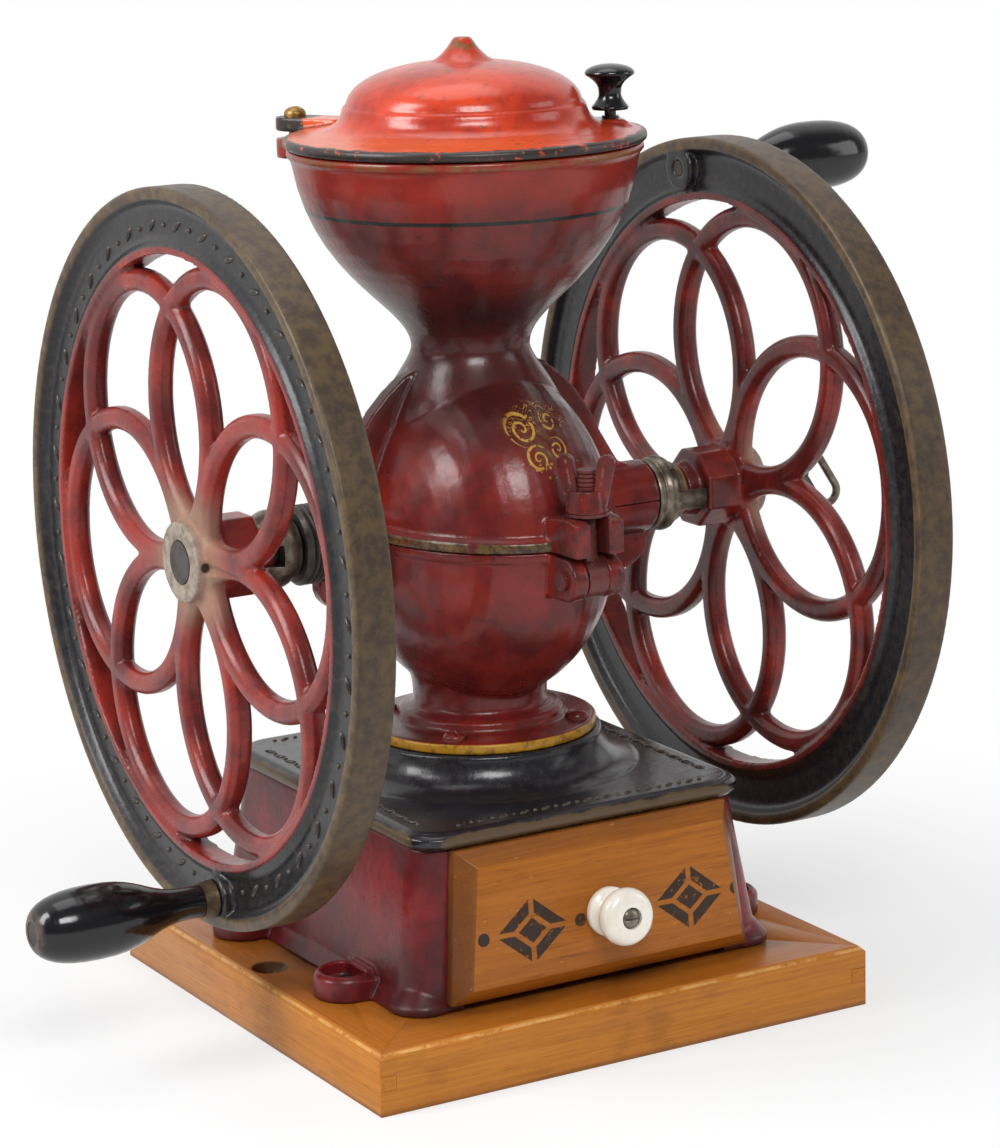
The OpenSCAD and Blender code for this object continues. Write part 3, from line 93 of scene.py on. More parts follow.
SHAFT_Z = sum(corner[2] for corner in corners_of("shaft")) / 2
WHEEL_R = corners_of("right_wheel")[1][1]
HOPPER_TOP = corners_of("upper_housing")[1][2]
LID_R = corners_of("lid")[1][0]
LID_TOP = corners_of("lid")[1][2]
PLATE_X, PLATE_Y, PLATE_TOP = corners_of("top_plate")[1]
CASE_TOP = corners_of("base_case")[1][2]
BOARD_X, BOARD_Y, BOARD_TOP = corners_of("board_right_rail")[1]
GRIP_END = corners_of("right_grip")[1][0]


# Forms
class Form:
    """Points in millimetres and the faces between them."""

    def __init__(self, points=(), faces=()):
        self.points = [Vector(p) for p in points]
        self.faces = [tuple(f) for f in faces]

    def __add__(self, other):
        first = len(self.points)
        moved = [tuple(i + first for i in face) for face in other.faces]
        return Form(self.points + other.points, self.faces + moved)

    def moved(self, *places):
        """The form under the matrices, the last one first."""
        matrix = Matrix.Identity(4)
        for place in places:
            matrix = matrix @ place
        flipped = matrix.determinant() < 0
        return Form([matrix @ p for p in self.points], [f[::-1] if flipped else f for f in self.faces])

    def mesh(self, name):
        data = bpy.data.meshes.new(name)
        data.from_pydata([p * MM for p in self.points], [], self.faces)
        data.update()
        return data


def joined(forms):
    total = Form()
    for form in forms:
        total = total + form
    return total


def shift(x=0, y=0, z=0):
    return Matrix.Translation((x, y, z))


def turn(degrees, axis="Z"):
    return Matrix.Rotation(math.radians(degrees), 4, axis)


def mirror_x():
    return Matrix.Scale(-1, 4, Vector((1, 0, 0)))


def dome(radii, steps=16, rows=6):
    """A closed egg about the origin with the three radii."""
    points, rings = [], []
    for row in range(rows + 1):
        height = -math.cos(math.pi * row / rows) * radii[2]
        if row in (0, rows):
            rings.append([len(points)] * steps)
            points.append((0, 0, height))
            continue
        rings.append(list(range(len(points), len(points) + steps)))
        reach = math.sin(math.pi * row / rows)
        for k in range(steps):
            heading = 2 * math.pi * k / steps
            across, along = reach * math.cos(heading), reach * math.sin(heading)
            points.append((across * radii[0], along * radii[1], height))
    faces = []
    for low, high in zip(rings, rings[1:]):
        for k in range(steps):
            n = (k + 1) % steps
            faces.append(tuple(dict.fromkeys((low[k], low[n], high[n], high[k]))))
    return Form(points, faces)


def slab(half, low, high):
    """A square slab about the origin between two heights."""
    outline = [(-half, -half), (half, -half), (half, half), (-half, half)]
    points = [(x, y, z) for z in (low, high) for x, y in outline]
    sides = [(k, (k + 1) % 4, (k + 1) % 4 + 4, k + 4) for k in range(4)]
    return Form(points, sides + [(3, 2, 1, 0), (4, 5, 6, 7)])


# Pieces
BODY = {node: body for body, nodes in frame["record"]["behaviour"]["bodies"].items() for node in nodes}
BEVEL_ANGLE = math.radians(35)
FLAT_ANGLE = math.radians(0.3)


def from_node(name):
    """A CAD node's mesh with its flat faces whole again, ready for a bevel."""
    data = frame["nodes"][name].data.copy()
    data.materials.clear()
    shell = bmesh.new()
    shell.from_mesh(data)
    bmesh.ops.remove_doubles(shell, verts=shell.verts, dist=1e-6)
    bmesh.ops.dissolve_limit(shell, angle_limit=FLAT_ANGLE, verts=shell.verts, edges=shell.edges)
    shell.to_mesh(data)
    shell.free()
    return data


def carved(mesh, voxel=None, melt=0, bevel=0.0):
    """The mesh with one skin of voxels and melted corners, or with bevelled edges."""
    work = bpy.data.objects.new("work", mesh)
    SCENE.collection.objects.link(work)
    if voxel:
        skin = work.modifiers.new("skin", "REMESH")
        skin.mode, skin.voxel_size = "VOXEL", voxel * MM
    if melt:
        soft = work.modifiers.new("melt", "SMOOTH")
        soft.factor, soft.iterations = 0.5, melt
    if bevel:
        edge = work.modifiers.new("edge", "BEVEL")
        edge.width, edge.segments, edge.limit_method = bevel * MM, 2, "ANGLE"
        edge.angle_limit = BEVEL_ANGLE
    bpy.context.view_layer.update()
    graph = bpy.context.evaluated_depsgraph_get()
    result = bpy.data.meshes.new_from_object(work.evaluated_get(graph))
    bpy.data.objects.remove(work)
    return result


def finished(data, finish, crease):
    """Gives a mesh its finish, smooth but for edges sharper than crease degrees."""
    data.materials.clear()
    data.materials.append(finish.material)
    for polygon in data.polygons:
        polygon.use_smooth = True
    data.set_sharp_from_angle(angle=math.radians(crease))


def piece(name, data, finish, node, stands_for=True, crease=40):
    """A dressed piece on a CAD node's body, which it replaces if it stands for it."""
    data.name = name
    finished(data, finish, crease)
    made = bpy.data.objects.new(name, data)
    SCENE.collection.objects.link(made)
    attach(made, BODY[node])
    if stands_for:
        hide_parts(node)


def dress(names, finish, crease=35):
    """Gives carried-over CAD nodes their finish."""
    for name in names:
        finished(frame["nodes"][name].data, finish, crease)


# Shader sums
class Value:
    """A shader socket that takes part in sums."""

    def __init__(self, nodes, socket):
        self.nodes, self.socket = nodes, socket

    def sum(self, operation, *values):
        return self.nodes.node("ShaderNodeMath", {"operation": operation}, dict(enumerate(values)))

    def __add__(self, other):
        return self.sum("ADD", self, other)

    def __sub__(self, other):
        return self.sum("SUBTRACT", self, other)

    def __rsub__(self, other):
        return self.sum("SUBTRACT", other, self)

    def __mul__(self, other):
        return self.sum("MULTIPLY", self, other)

    def __truediv__(self, other):
        return self.sum("DIVIDE", self, other)

    def __pow__(self, other):
        return self.sum("POWER", self, other)

    def __abs__(self):
        return self.sum("ABSOLUTE", self)

    __radd__, __rmul__ = __add__, __mul__

    def squared(self):
        return self * self

    def fraction(self):
        return self.sum("FRACT", self)

    def least(self, other):
        return self.sum("MINIMUM", self, other)

    def most(self, other):
        return self.sum("MAXIMUM", self, other)

    def rise(self, low, high):
        """0 below low, 1 above high, eased between; low may be the higher one."""
        return self.nodes.node("ShaderNodeMapRange", {"interpolation_type": "SMOOTHSTEP"},
                               {"Value": self, "From Min": low, "From Max": high})

    def band(self, low, high, edge):
        """1 between low and high, falling off over edge."""
        return self.rise(low - edge, low) * self.rise(high + edge, high)


class Nodes:
    """A node tree that is written as sums."""

    def __init__(self, tree):
        self.tree = tree
        tree.nodes.clear()

    def node(self, kind, settings=None, inputs=None, output=0):
        """Adds a node with its settings and its sockets' values or links; gives one output."""
        made = self.tree.nodes.new(kind)
        for key, value in (settings or {}).items():
            setattr(made, key, value)
        for key, value in (inputs or {}).items():
            if isinstance(value, Value):
                self.tree.links.new(value.socket, made.inputs[key])
            else:
                made.inputs[key].default_value = value
        return Value(self, made.outputs[output]) if made.outputs else None

    def axes(self, vector):
        """The three parts of a vector."""
        split = self.node("ShaderNodeSeparateXYZ", None, {0: vector})
        return [Value(self, socket) for socket in split.socket.node.outputs]

    def white_rays(self):
        """1 for the camera's rays, and 1 for the rays that gloss and glass send out."""
        rays = self.node("ShaderNodeLightPath").socket.node.outputs
        camera, glossy, through = (Value(self, rays[name]) for name in
                                   ("Is Camera Ray", "Is Glossy Ray", "Is Transmission Ray"))
        return camera, glossy.most(through)


class Finish(Nodes):
    """One procedural finish; place is the point on the object in millimetres."""

    def __init__(self, name):
        self.material = bpy.data.materials.new(name)
        self.material.use_nodes = True
        super().__init__(self.material.node_tree)
        metres = self.node("ShaderNodeTexCoord", output="Object")
        self.place = self.node("ShaderNodeVectorMath", {"operation": "SCALE"}, {0: metres, "Scale": 1 / MM})

    def xyz(self):
        return self.axes(self.place)

    def facing(self):
        """The three parts of the surface's direction."""
        return self.axes(self.node("ShaderNodeTexCoord", output="Normal"))

    def noise(self, size, detail=3.0, rough=0.55, where=None, warp=0.0):
        """Cloudy noise whose features are about size millimetres across."""
        inputs = {"Vector": where or self.place, "Scale": 1 / size, "Detail": detail, "Roughness": rough,
                  "Distortion": warp}
        return self.node("ShaderNodeTexNoise", None, inputs)

    def cells(self, size, feature="F1"):
        """Distance from points scattered size millimetres apart, or from the borders between them."""
        inputs = {"Vector": self.place, "Scale": 1 / size}
        return self.node("ShaderNodeTexVoronoi", {"feature": feature}, inputs)

    def stretched(self, x, y, z):
        """The place with its axes scaled, for grain that runs one way."""
        return self.node("ShaderNodeVectorMath", {"operation": "MULTIPLY"}, {0: self.place, 1: (x, y, z)})

    def edges(self, low, high):
        """Where the surface turns outwards sharply, or inwards if low is the higher one."""
        return self.node("ShaderNodeNewGeometry", output="Pointiness").rise(low, high)

    def mix(self, mask, first, second):
        """The first colour, and the second where the mask is 1."""
        first, second = (c if isinstance(c, Value) else (*c, 1) for c in (first, second))
        return self.node("ShaderNodeMix", {"data_type": "RGBA"}, {0: mask, 6: first, 7: second}, 2)

    def bump(self, height, depth, under=None):
        """The normal over a height from 0 to 1 that stands for depth millimetres."""
        inputs = {"Height": height, "Distance": depth * MM, "Strength": 1.0}
        if under:
            inputs["Normal"] = under
        return self.node("ShaderNodeBump", None, inputs)

    def cast_bump(self, lumps=0.14, grain=0.03):
        """The lumps and the sandy grain of brushed paint on a casting."""
        return self.bump(self.noise(1.1, 3), grain, under=self.bump(self.noise(6, 2), lumps))

    def surface(self, colour, rough, normal, metal=0.0, **more):
        """The finished surface; more gives the shader's constant sockets by name."""
        inputs = {"Base Color": colour, "Roughness": rough, "Metallic": metal, "Normal": normal}
        inputs.update({key.replace("_", " "): value for key, value in more.items()})
        shader = self.node("ShaderNodeBsdfPrincipled", None, inputs)
        self.node("ShaderNodeOutputMaterial", None, {"Surface": shader})
        return self


def tone(red, green, blue):
    """A colour read off a picture, 0 to 255, in the shader's linear light."""
    shares = (red / 255, green / 255, blue / 255)
    return tuple(c / 12.92 if c < 0.04045 else ((c + 0.055) / 1.055) ** 2.4 for c in shares)


# Finishes of the castings
BEAN_BLACK = tone(24, 21, 22)
# Dark specks in the enamel, and the right wheel's painted shade
DARK_SPECK_AND_SHADE = tone(34, 20, 20)
PAINT_GLOSS = 0.38


def enamel(name, bright, deep):
    """Old brushed enamel, mottled and finely specked; gives the finish, its colour and the specks."""
    finish = Finish(name)
    blotch = finish.noise(26, 4, 0.6)
    speck = finish.noise(3.4, 4, 0.7)
    colour = finish.mix(blotch.rise(0.36, 0.66), bright, deep)
    colour = finish.mix(speck.rise(0.5, 0.76) * 0.45, colour, DARK_SPECK_AND_SHADE)
    return finish, colour, speck


GLOBE_X, GLOBE_Y, GLOBE_Z = 48.0, 66.0, 181.5
NECK, BOWL = (236, 262), (270, 298)
PINSTRIPE = (HOPPER_TOP - 23.2, HOPPER_TOP - 22.0)
HOPPER_RIM = (HOPPER_TOP - 3.1, HOPPER_TOP - 0.7)
SEAM = (SHAFT_Z + 0.1, SHAFT_Z + 3.7)
CLAMP = (SHAFT_Z - 18.5, SHAFT_Z + 25.5)
FOOT_R, FOOT = 43.7, (PLATE_TOP + 0.3, PLATE_TOP + 3.9)


def housing_enamel():
    """The housings: crimson with a black pinstripe, a rubbed bronze seam and a gilt foot."""
    finish, colour, speck = enamel("housing_enamel", tone(124, 35, 28), tone(82, 26, 25))
    x, y, z = finish.xyz()
    reach = (x * x + y * y) ** 0.5
    # The hollows darkened: painted shade there, mixed with dirt
    hollow_shade_and_dirt = finish.edges(0.487, 0.45)
    rubbed = finish.edges(0.53, 0.60) * finish.noise(5, 4, 0.7).rise(0.42, 0.60)
    # Painted shade: the neck darkened under the hopper's overhang, and the hopper's bowl a little
    painted_neck_shade = z.band(*NECK, 28) * 0.7 + z.band(*BOWL, 16) * 0.2
    colour = finish.mix(painted_neck_shade, colour, tone(44, 24, 24))
    colour = finish.mix(z.rise(HOPPER_TOP - 21.5, HOPPER_TOP - 9.5) * 0.35, colour, tone(168, 50, 33))
    colour = finish.mix(hollow_shade_and_dirt * 0.8, colour, tone(30, 19, 19))
    colour = finish.mix(rubbed * 0.55, colour, tone(158, 104, 84))
    clamp = y.rise(-67, -73) * z.band(*CLAMP, 3)
    colour = finish.mix(clamp * finish.noise(4, 4, 0.7).rise(0.40, 0.62) * 0.7, colour, tone(52, 36, 34))
    stripe = z.band(*PINSTRIPE, 0.3) * reach.rise(55, 56)
    colour = finish.mix(stripe * speck.rise(0.25, 0.4), colour, BEAN_BLACK)
    rim = z.band(*HOPPER_RIM, 0.3) * reach.rise(65.2, 65.8)
    colour = finish.mix(rim * finish.noise(9, 3, 0.7).rise(0.4, 0.6) * 0.7, colour, tone(112, 82, 44))
    oval = ((x / GLOBE_X).squared() + (y / GLOBE_Y).squared()) ** 0.5
    seam = z.band(*SEAM, 0.3) * oval.rise(1.022, 1.028) * oval.rise(1.055, 1.05)
    worn = finish.mix(finish.noise(4, 4, 0.7).rise(0.38, 0.62), tone(98, 76, 46), tone(54, 38, 28))
    colour = finish.mix(seam * finish.noise(12, 4, 0.7).rise(0.34, 0.46), colour, worn)
    foot = z.band(*FOOT, 0.25) * reach.rise(FOOT_R, FOOT_R + 0.4)
    gilt = finish.mix(speck.rise(0.45, 0.7), tone(176, 128, 32), tone(110, 74, 24))
    colour = finish.mix(foot, colour, gilt)
    pits = finish.cells(9).rise(0.15, 0.10) * finish.noise(60).rise(0.5, 0.62)
    colour = finish.mix(pits * 0.7, colour, tone(44, 26, 25))
    colour = gilt_spray(finish, x, y, z, colour)
    rough = 0.17 + speck * 0.16 + hollow_shade_and_dirt * 0.25 + rubbed * 0.2
    return finish.surface(colour, rough, finish.cast_bump(), Specular_IOR_Level=PAINT_GLOSS)


SPRAY_X, SPRAY_Z = 2.0, 222.5
SPRAY_HALF = (17.0, 14.5)
# Each curl's centre in X and Z, its radius, its pitch and the hand that it winds to
SPRAY_CURLS = (
    (-6.0, 227.0, 6.2, 2.9, 1),
    (-3.5, 217.0, 5.0, 2.6, -1),
    (5.5, 219.5, 4.2, 2.4, 1),
    (6.0, 229.0, 3.6, 2.2, -1),
)


def gilt_spray(finish, x, y, z, colour):
    """The rubbed remains of a gilt spray of curls, threads and dots on the body's front."""
    across, up = (x - SPRAY_X) / SPRAY_HALF[0], (z - SPRAY_Z) / SPRAY_HALF[1]
    away = (across * across + up * up) ** 0.5
    swell = (x / GLOBE_X).squared() + (y / GLOBE_Y).squared() + ((z - GLOBE_Z) / GLOBE_Y).squared()
    inside = away.rise(1.0, 0.8) * y.rise(-20, -24) * swell.rise(1.25, 1.15)
    threads = abs(finish.noise(4.2, 1, 0.4, warp=1.6) - 0.5).rise(0.016, 0.007) * up.rise(0.1, 0.4)
    dots = finish.cells(2.3).rise(0.30, 0.22) * up.rise(-0.35, -0.6)
    strokes = threads.most(dots * 0.9)
    for shape in SPRAY_CURLS:
        strokes = strokes.most(curl(x, z, *shape))
    left = finish.noise(4, 3, 0.65).rise(0.38, 0.46)
    gold = finish.mix(finish.noise(2, 3), tone(216, 172, 76), tone(140, 98, 40))
    smear = inside * away.rise(0.75, 0.3) * finish.noise(6, 3).rise(0.4, 0.62)
    colour = finish.mix(smear * 0.55, colour, tone(96, 84, 66))
    return finish.mix(inside * left * strokes, colour, gold)


def curl(x, z, centre_x, centre_z, radius, pitch, hand):
    """A volute of the spray: a spiral line round its centre, thicker towards the outside."""
    across, up = (x - centre_x) * hand, z - centre_z
    away = (across * across + up * up) ** 0.5
    wind = away / pitch - up.sum("ARCTAN2", up, across) / (2 * math.pi)
    line = abs(wind.fraction() - 0.5)
    return (line - away / radius * 0.12).rise(0.12, 0.06) * away.rise(radius, radius - 0.6)


LID_STEP = (46, 56)


def lid_enamel():
    """The lid: orange-red enamel, dark in its grooves and chipped black at the rim."""
    finish = Finish("lid_enamel")
    x, y, z = finish.xyz()
    reach = (x * x + y * y) ** 0.5
    speck = finish.noise(3, 4, 0.7)
    cloud = finish.noise(24, 4, 0.6)
    orange = finish.mix(cloud.rise(0.35, 0.68), tone(198, 62, 30), tone(160, 44, 26))
    # Painted light: the step paler on the left, towards the window lamp, and the lid darker to the right as
    # painted shade
    orange = finish.mix(reach.rise(*LID_STEP) * x.rise(30, -30) * 0.55, orange, tone(216, 98, 38))
    orange = finish.mix(x.rise(-10, 50) * 0.4, orange, tone(126, 38, 30))
    orange = finish.mix(speck.rise(0.54, 0.74) * 0.55, orange, tone(104, 38, 26))
    worn = finish.mix(finish.noise(2, 3), tone(150, 104, 60), tone(54, 38, 32))
    ragged = reach + finish.noise(7, 4, 0.75) * 6
    rim = ragged.rise(LID_R + 0.4, LID_R + 1.2).most(reach.rise(LID_R - 0.7, LID_R - 0.4) * 0.9)
    rim = rim * finish.noise(4, 4, 0.7).rise(0.30, 0.44)
    pits = finish.cells(6.5).rise(0.17, 0.11) * finish.noise(22, 3).rise(0.5, 0.62)
    # The grooves darkened: painted shade there, mixed with dirt
    hollow_shade_and_dirt = finish.edges(0.49, 0.46)
    tip = z.rise(LID_TOP - 5.35, LID_TOP - 3.35) * speck.rise(0.42, 0.6)
    chipped = finish.edges(0.55, 0.62) * speck.rise(0.4, 0.6)
    colour = finish.mix(hollow_shade_and_dirt * 0.85, orange, tone(56, 26, 22))
    colour = finish.mix(rim, colour, tone(38, 29, 27))
    colour = finish.mix(pits.most(tip).most(chipped), colour, worn)
    rough = 0.15 + speck * 0.14 + hollow_shade_and_dirt * 0.2 + rim * 0.15
    return finish.surface(colour, rough, finish.cast_bump(0.12))


WEB_R, LIP_R = 114.2, 131.2
HUB_R, HUB_FACE = 14.6, 122.0


def wheel_enamel():
    """The flywheels: crimson spokes, a black web, a rubbed bronze rim and a dusty hub."""
    finish, red, speck = enamel("wheel_enamel", tone(140, 42, 33), tone(92, 30, 28))
    x, y, z = finish.xyz()
    up = z - SHAFT_Z
    reach = (y * y + up * up) ** 0.5
    cloud = finish.noise(14, 4, 0.65)
    # The spokes' rounded edges paled: partly a painted highlight, partly worn paint; on the black web it is
    # bronze wear
    rubbed = finish.edges(0.525, 0.59)
    red = finish.mix(rubbed * cloud.rise(0.36, 0.58) * 0.75, red, tone(188, 108, 90))
    # The hollows darkened: painted shade there, mixed with dirt
    red = finish.mix(finish.edges(0.487, 0.45) * 0.75, red, tone(34, 21, 21))
    # Painted shade: the right wheel, kept from the window lamp by the body, darkened in cloudy patches
    red = finish.mix(x.rise(60, 100) * cloud.rise(0.3, 0.6) * 0.45, red, DARK_SPECK_AND_SHADE)
    dust = reach.rise(36, 15) * abs(x).rise(HUB_FACE - 10, HUB_FACE - 3) * (0.55 + cloud * 0.5)
    red = finish.mix(dust, red, tone(152, 122, 102))
    black = finish.mix(speck.rise(0.46, 0.72) * 0.6, tone(25, 25, 29), tone(66, 56, 48))
    black = finish.mix(rubbed * 0.5, black, tone(98, 86, 70))
    fine = finish.noise(1.0, 3, 0.6, where=finish.stretched(2.2, 0.12, 0.12))
    lip = finish.mix(finish.noise(5, 4, 0.7).rise(0.36, 0.66), tone(94, 74, 46), tone(62, 49, 38))
    lip = finish.mix(cloud.rise(0.45, 0.7) * 0.5, lip, tone(50, 40, 37))
    lip = finish.mix(reach.rise(WHEEL_R - 0.9, WHEEL_R - 0.3) * fine * 0.6, lip, tone(46, 37, 32))
    lip = finish.mix(finish.edges(0.53, 0.58) * speck.rise(0.3, 0.6) * 0.8, lip, tone(176, 148, 92))
    bare = finish.mix(speck.rise(0.35, 0.7), tone(158, 144, 130), tone(110, 98, 86))
    colour = finish.mix(reach.rise(WEB_R, WEB_R + 1), red, black)
    colour = finish.mix(reach.rise(LIP_R, LIP_R + 1.2), colour, lip)
    hub = reach.rise(HUB_R + 1, HUB_R) * abs(x).rise(HUB_FACE - 0.5, HUB_FACE + 0.5)
    colour = finish.mix(hub, colour, bare)
    rough = 0.2 + speck * 0.18 + reach.rise(LIP_R - 1.2, LIP_R + 0.8) * 0.14 + dust * 0.3
    return finish.surface(colour, rough, finish.cast_bump(0.12, 0.035), Specular_IOR_Level=PAINT_GLOSS)


def black_japan():
    """The top plate: glossy black japan over iron, bronze where its edge is rubbed."""
    finish = Finish("black_japan")
    x, y, _ = finish.xyz()
    speck = finish.noise(2.6, 4, 0.7)
    cloud = finish.noise(14, 4, 0.65)
    black = finish.mix(speck.rise(0.46, 0.75) * 0.5, tone(26, 26, 31), tone(58, 52, 50))
    black = finish.mix(cloud.rise(0.55, 0.7) * 0.35, black, tone(56, 48, 38))
    margin = (abs(x) - PLATE_X).most(abs(y) - PLATE_Y)
    edge = (margin + cloud * 4).rise(0.4, 1.6)
    rubbed = finish.edges(0.525, 0.575) * finish.noise(5, 3, 0.7).rise(0.3, 0.55)
    colour = finish.mix(edge * 0.8, black, tone(92, 72, 46))
    colour = finish.mix(rubbed * 0.45, colour, tone(108, 88, 62))
    rough = 0.16 + speck * 0.16 + rubbed * 0.15 + edge * 0.1
    return finish.surface(colour, rough, finish.cast_bump(0.16, 0.04))


def case_enamel():
    """The base case: deep crimson, dark at its corners and skirt and rubbed on its feet."""
    finish, colour, speck = enamel("case_enamel", tone(138, 34, 36), tone(94, 26, 29))
    x, y, z = finish.xyz()
    cloud = finish.noise(22, 4, 0.65)
    # Cloudy dirt with painted shade under the overhanging top plate, darker towards the corners and low at
    # the skirt
    corner = (abs(x) + abs(y) * 0.95).rise(126, 150)
    shoulder, skirt = z.rise(CASE_TOP - 25, CASE_TOP + 1), z.rise(BOARD_TOP + 10.5, BOARD_TOP + 0.5)
    dirt_and_shade = (cloud.rise(0.45, 0.66) * 0.28 + shoulder * 0.35 + corner * 0.25 + skirt * 0.35).least(0.8)
    pale = finish.noise(13, 4, 0.7).rise(0.56, 0.72) * (1 - dirt_and_shade)
    colour = finish.mix(pale * 0.3, colour, tone(156, 70, 66))
    colour = finish.mix(dirt_and_shade, colour, tone(34, 22, 25))
    # The hollows darkened: painted shade there, mixed with dirt
    colour = finish.mix(finish.edges(0.487, 0.45) * 0.85, colour, tone(22, 17, 18))
    colour = finish.mix(finish.edges(0.535, 0.60) * speck.rise(0.35, 0.6) * 0.7, colour, tone(150, 112, 98))
    rough = 0.2 + speck * 0.18 + dirt_and_shade * 0.1
    return finish.surface(colour, rough, finish.cast_bump(0.18, 0.05), Specular_IOR_Level=PAINT_GLOSS)


# Finishes of the wood
BOARD_TONES = (tone(186, 118, 36), tone(156, 90, 26), tone(92, 52, 22), tone(216, 166, 92))
FRONT_TONES = (tone(168, 100, 28), tone(138, 76, 20), tone(82, 46, 20), tone(206, 150, 80))
VARNISH_GLOSS = 0.3


def wood(name, along, light, deep, dark, wear):
    """Old varnished wood with its grain along X, Y or Z (0, 1 or 2); gives the finish, its colour, its
    fibres and its stains."""
    def grain(share):
        return [share if axis == along else 1.0 for axis in range(3)]
    finish = Finish(name)
    fibre = finish.noise(1.0, 4, 0.65, where=finish.stretched(*grain(0.045)))
    ring = finish.noise(9, 3, 0.5, where=finish.stretched(*grain(0.02)), warp=0.6)
    bands = abs((ring * 9.0).fraction() - 0.5) * 2
    pores = finish.noise(0.5, 2, 0.5, where=finish.stretched(*grain(0.044)))
    stain = finish.noise(30, 4, 0.6)
    colour = finish.mix(bands.rise(0.1, 0.95) * 0.35, light, deep)
    colour = finish.mix(fibre.rise(0.42, 0.7) * 0.5, colour, deep)
    colour = finish.mix(pores.rise(0.6, 0.72) * 0.4, colour, dark)
    colour = finish.mix(stain.rise(0.52, 0.74) * 0.3, colour, dark)
    scuff = finish.noise(2.2, 4, 0.75).rise(0.66, 0.74) * stain.rise(0.35, 0.5)
    return finish, finish.mix(scuff * 0.4, colour, wear), fibre, stain


CASE_HALF_X, CASE_HALF_Y = 82, 85
HOLE_X, HOLE_R = BOARD_X - 10.5, 7.0


def board_wood(name, along):
    """The board: redder on top, rubbed pale along its arrises and darker round the case's feet."""
    finish, colour, fibre, stain = wood(name, along, *BOARD_TONES)
    x, y, z = finish.xyz()
    _, _, upward = finish.facing()
    colour = finish.mix(upward.rise(0.8, 0.95) * 0.4, colour, tone(166, 88, 30))
    side, drop = (abs(x) - BOARD_X).most(abs(y) - BOARD_Y), z - BOARD_TOP
    arris = (side + drop).rise(-2.7, -2.2) * abs(side - drop).rise(1.3, 0.5)
    rubbed = arris * finish.noise(9, 4, 0.7).rise(0.38, 0.56)
    # Darker in stained patches on the board's top close round the case
    crowd = (abs(x) - CASE_HALF_X).most(abs(y) - CASE_HALF_Y).rise(8, -2) * drop.rise(-1, -0.3)
    colour = finish.mix(crowd * stain.rise(0.3, 0.7) * 0.6, colour, tone(64, 38, 24))
    colour = finish.mix(rubbed * 0.5, colour, tone(230, 184, 120))
    colour = finish.mix(z.rise(2.2, 0.4) * 0.5, colour, tone(90, 52, 28))
    # Painted shade: the peg holes near the board's ends darkened inside
    hole = ((abs(x) - HOLE_X).squared() + y.squared()) ** 0.5
    colour = finish.mix(hole.rise(HOLE_R + 0.8, HOLE_R - 0.6) * 0.85, colour, tone(40, 24, 17))
    rough = 0.26 + fibre * 0.2
    return finish.surface(colour, rough, finish.bump(fibre, 0.06), Specular_IOR_Level=VARNISH_GLOSS)


FIELD_HALF, FIELD_Z = (56, 22), 54.5
LOZENGE_PLACES, LOZENGE_HALF = (-32.0, 36.0), (15.5, 12.5)
STENCIL_Z, DOT_AWAY = 51.5, 20.5


def front_wood():
    """The drawer front, with a plain stencilled border of lozenges and dots in black."""
    finish, colour, fibre, _ = wood("front_wood", 0, *FRONT_TONES)
    x, _, z = finish.xyz()
    across, _, upward = finish.facing()
    colour = finish.mix(abs(across).rise(0.3, 0.6) * 0.6, colour, tone(74, 40, 20))
    colour = finish.mix(upward.rise(0.45, 0.7) * 0.4, colour, tone(104, 58, 26))
    edge = (abs(x) - FIELD_HALF[0]).most(abs(z - FIELD_Z) - FIELD_HALF[1]).rise(0, 7)
    colour = finish.mix(edge * finish.noise(26, 4, 0.65).rise(0.3, 0.6) * 0.35, colour, tone(84, 48, 24))
    scratch = finish.noise(1.6, 3, 0.7, where=finish.stretched(0.25, 1, 1)).rise(0.66, 0.72)
    colour = finish.mix(scratch * 0.4, colour, tone(216, 164, 100))
    left, right = (lozenge(x, z, place) for place in LOZENGE_PLACES)
    kept = finish.noise(2.4, 4, 0.7).rise(0.30, 0.42) * abs(across).rise(0.3, 0.1) * upward.rise(0.6, 0.45)
    colour = finish.mix(left.most(right) * kept * 0.94, colour, tone(30, 24, 22))
    rough = 0.28 + fibre * 0.2
    return finish.surface(colour, rough, finish.bump(fibre, 0.05), Specular_IOR_Level=VARNISH_GLOSS)


def lozenge(x, z, centre):
    """One stencilled lozenge, cut by the stencil's bridges, with a dot on either side."""
    across, up = abs(x - centre), abs(z - STENCIL_Z)
    diamond = across / LOZENGE_HALF[0] + up / LOZENGE_HALF[1]
    ring = diamond.band(0.58, 0.98, 0.02) * up.rise(0.8, 1.1) * across.rise(0.9, 1.2)
    heart = diamond.rise(0.40, 0.36)
    dot = ((across - DOT_AWAY).squared() + up.squared()).rise(6.6, 5.6)
    return ring.most(heart).most(dot)


def inner_wood():
    """Bare wood inside the drawer."""
    finish, colour, fibre, _ = wood("inner_wood", 1, *FRONT_TONES)
    return finish.surface(colour, 0.5 + fibre * 0.2, finish.bump(fibre, 0.1))


# Finishes of the metal, the grips and the china
def metal(name, bright, dull, rust, shine, rough):
    """Worn bare metal with dull patches and rust in the low places."""
    finish = Finish(name)
    speck = finish.noise(1.6, 4, 0.7)
    cloud = finish.noise(7, 4, 0.65)
    colour = finish.mix(cloud.rise(0.36, 0.64), bright, dull)
    stain = speck.rise(0.5, 0.68) * cloud.rise(0.42, 0.6)
    colour = finish.mix(stain * 0.85, colour, rust)
    scratch = finish.noise(0.5, 2, 0.5, where=finish.stretched(3, 1, 1))
    normal = finish.bump(speck + scratch * 0.5, 0.05)
    return finish.surface(colour, rough + speck * 0.25 + stain * 0.2, normal, shine - stain * 0.6)


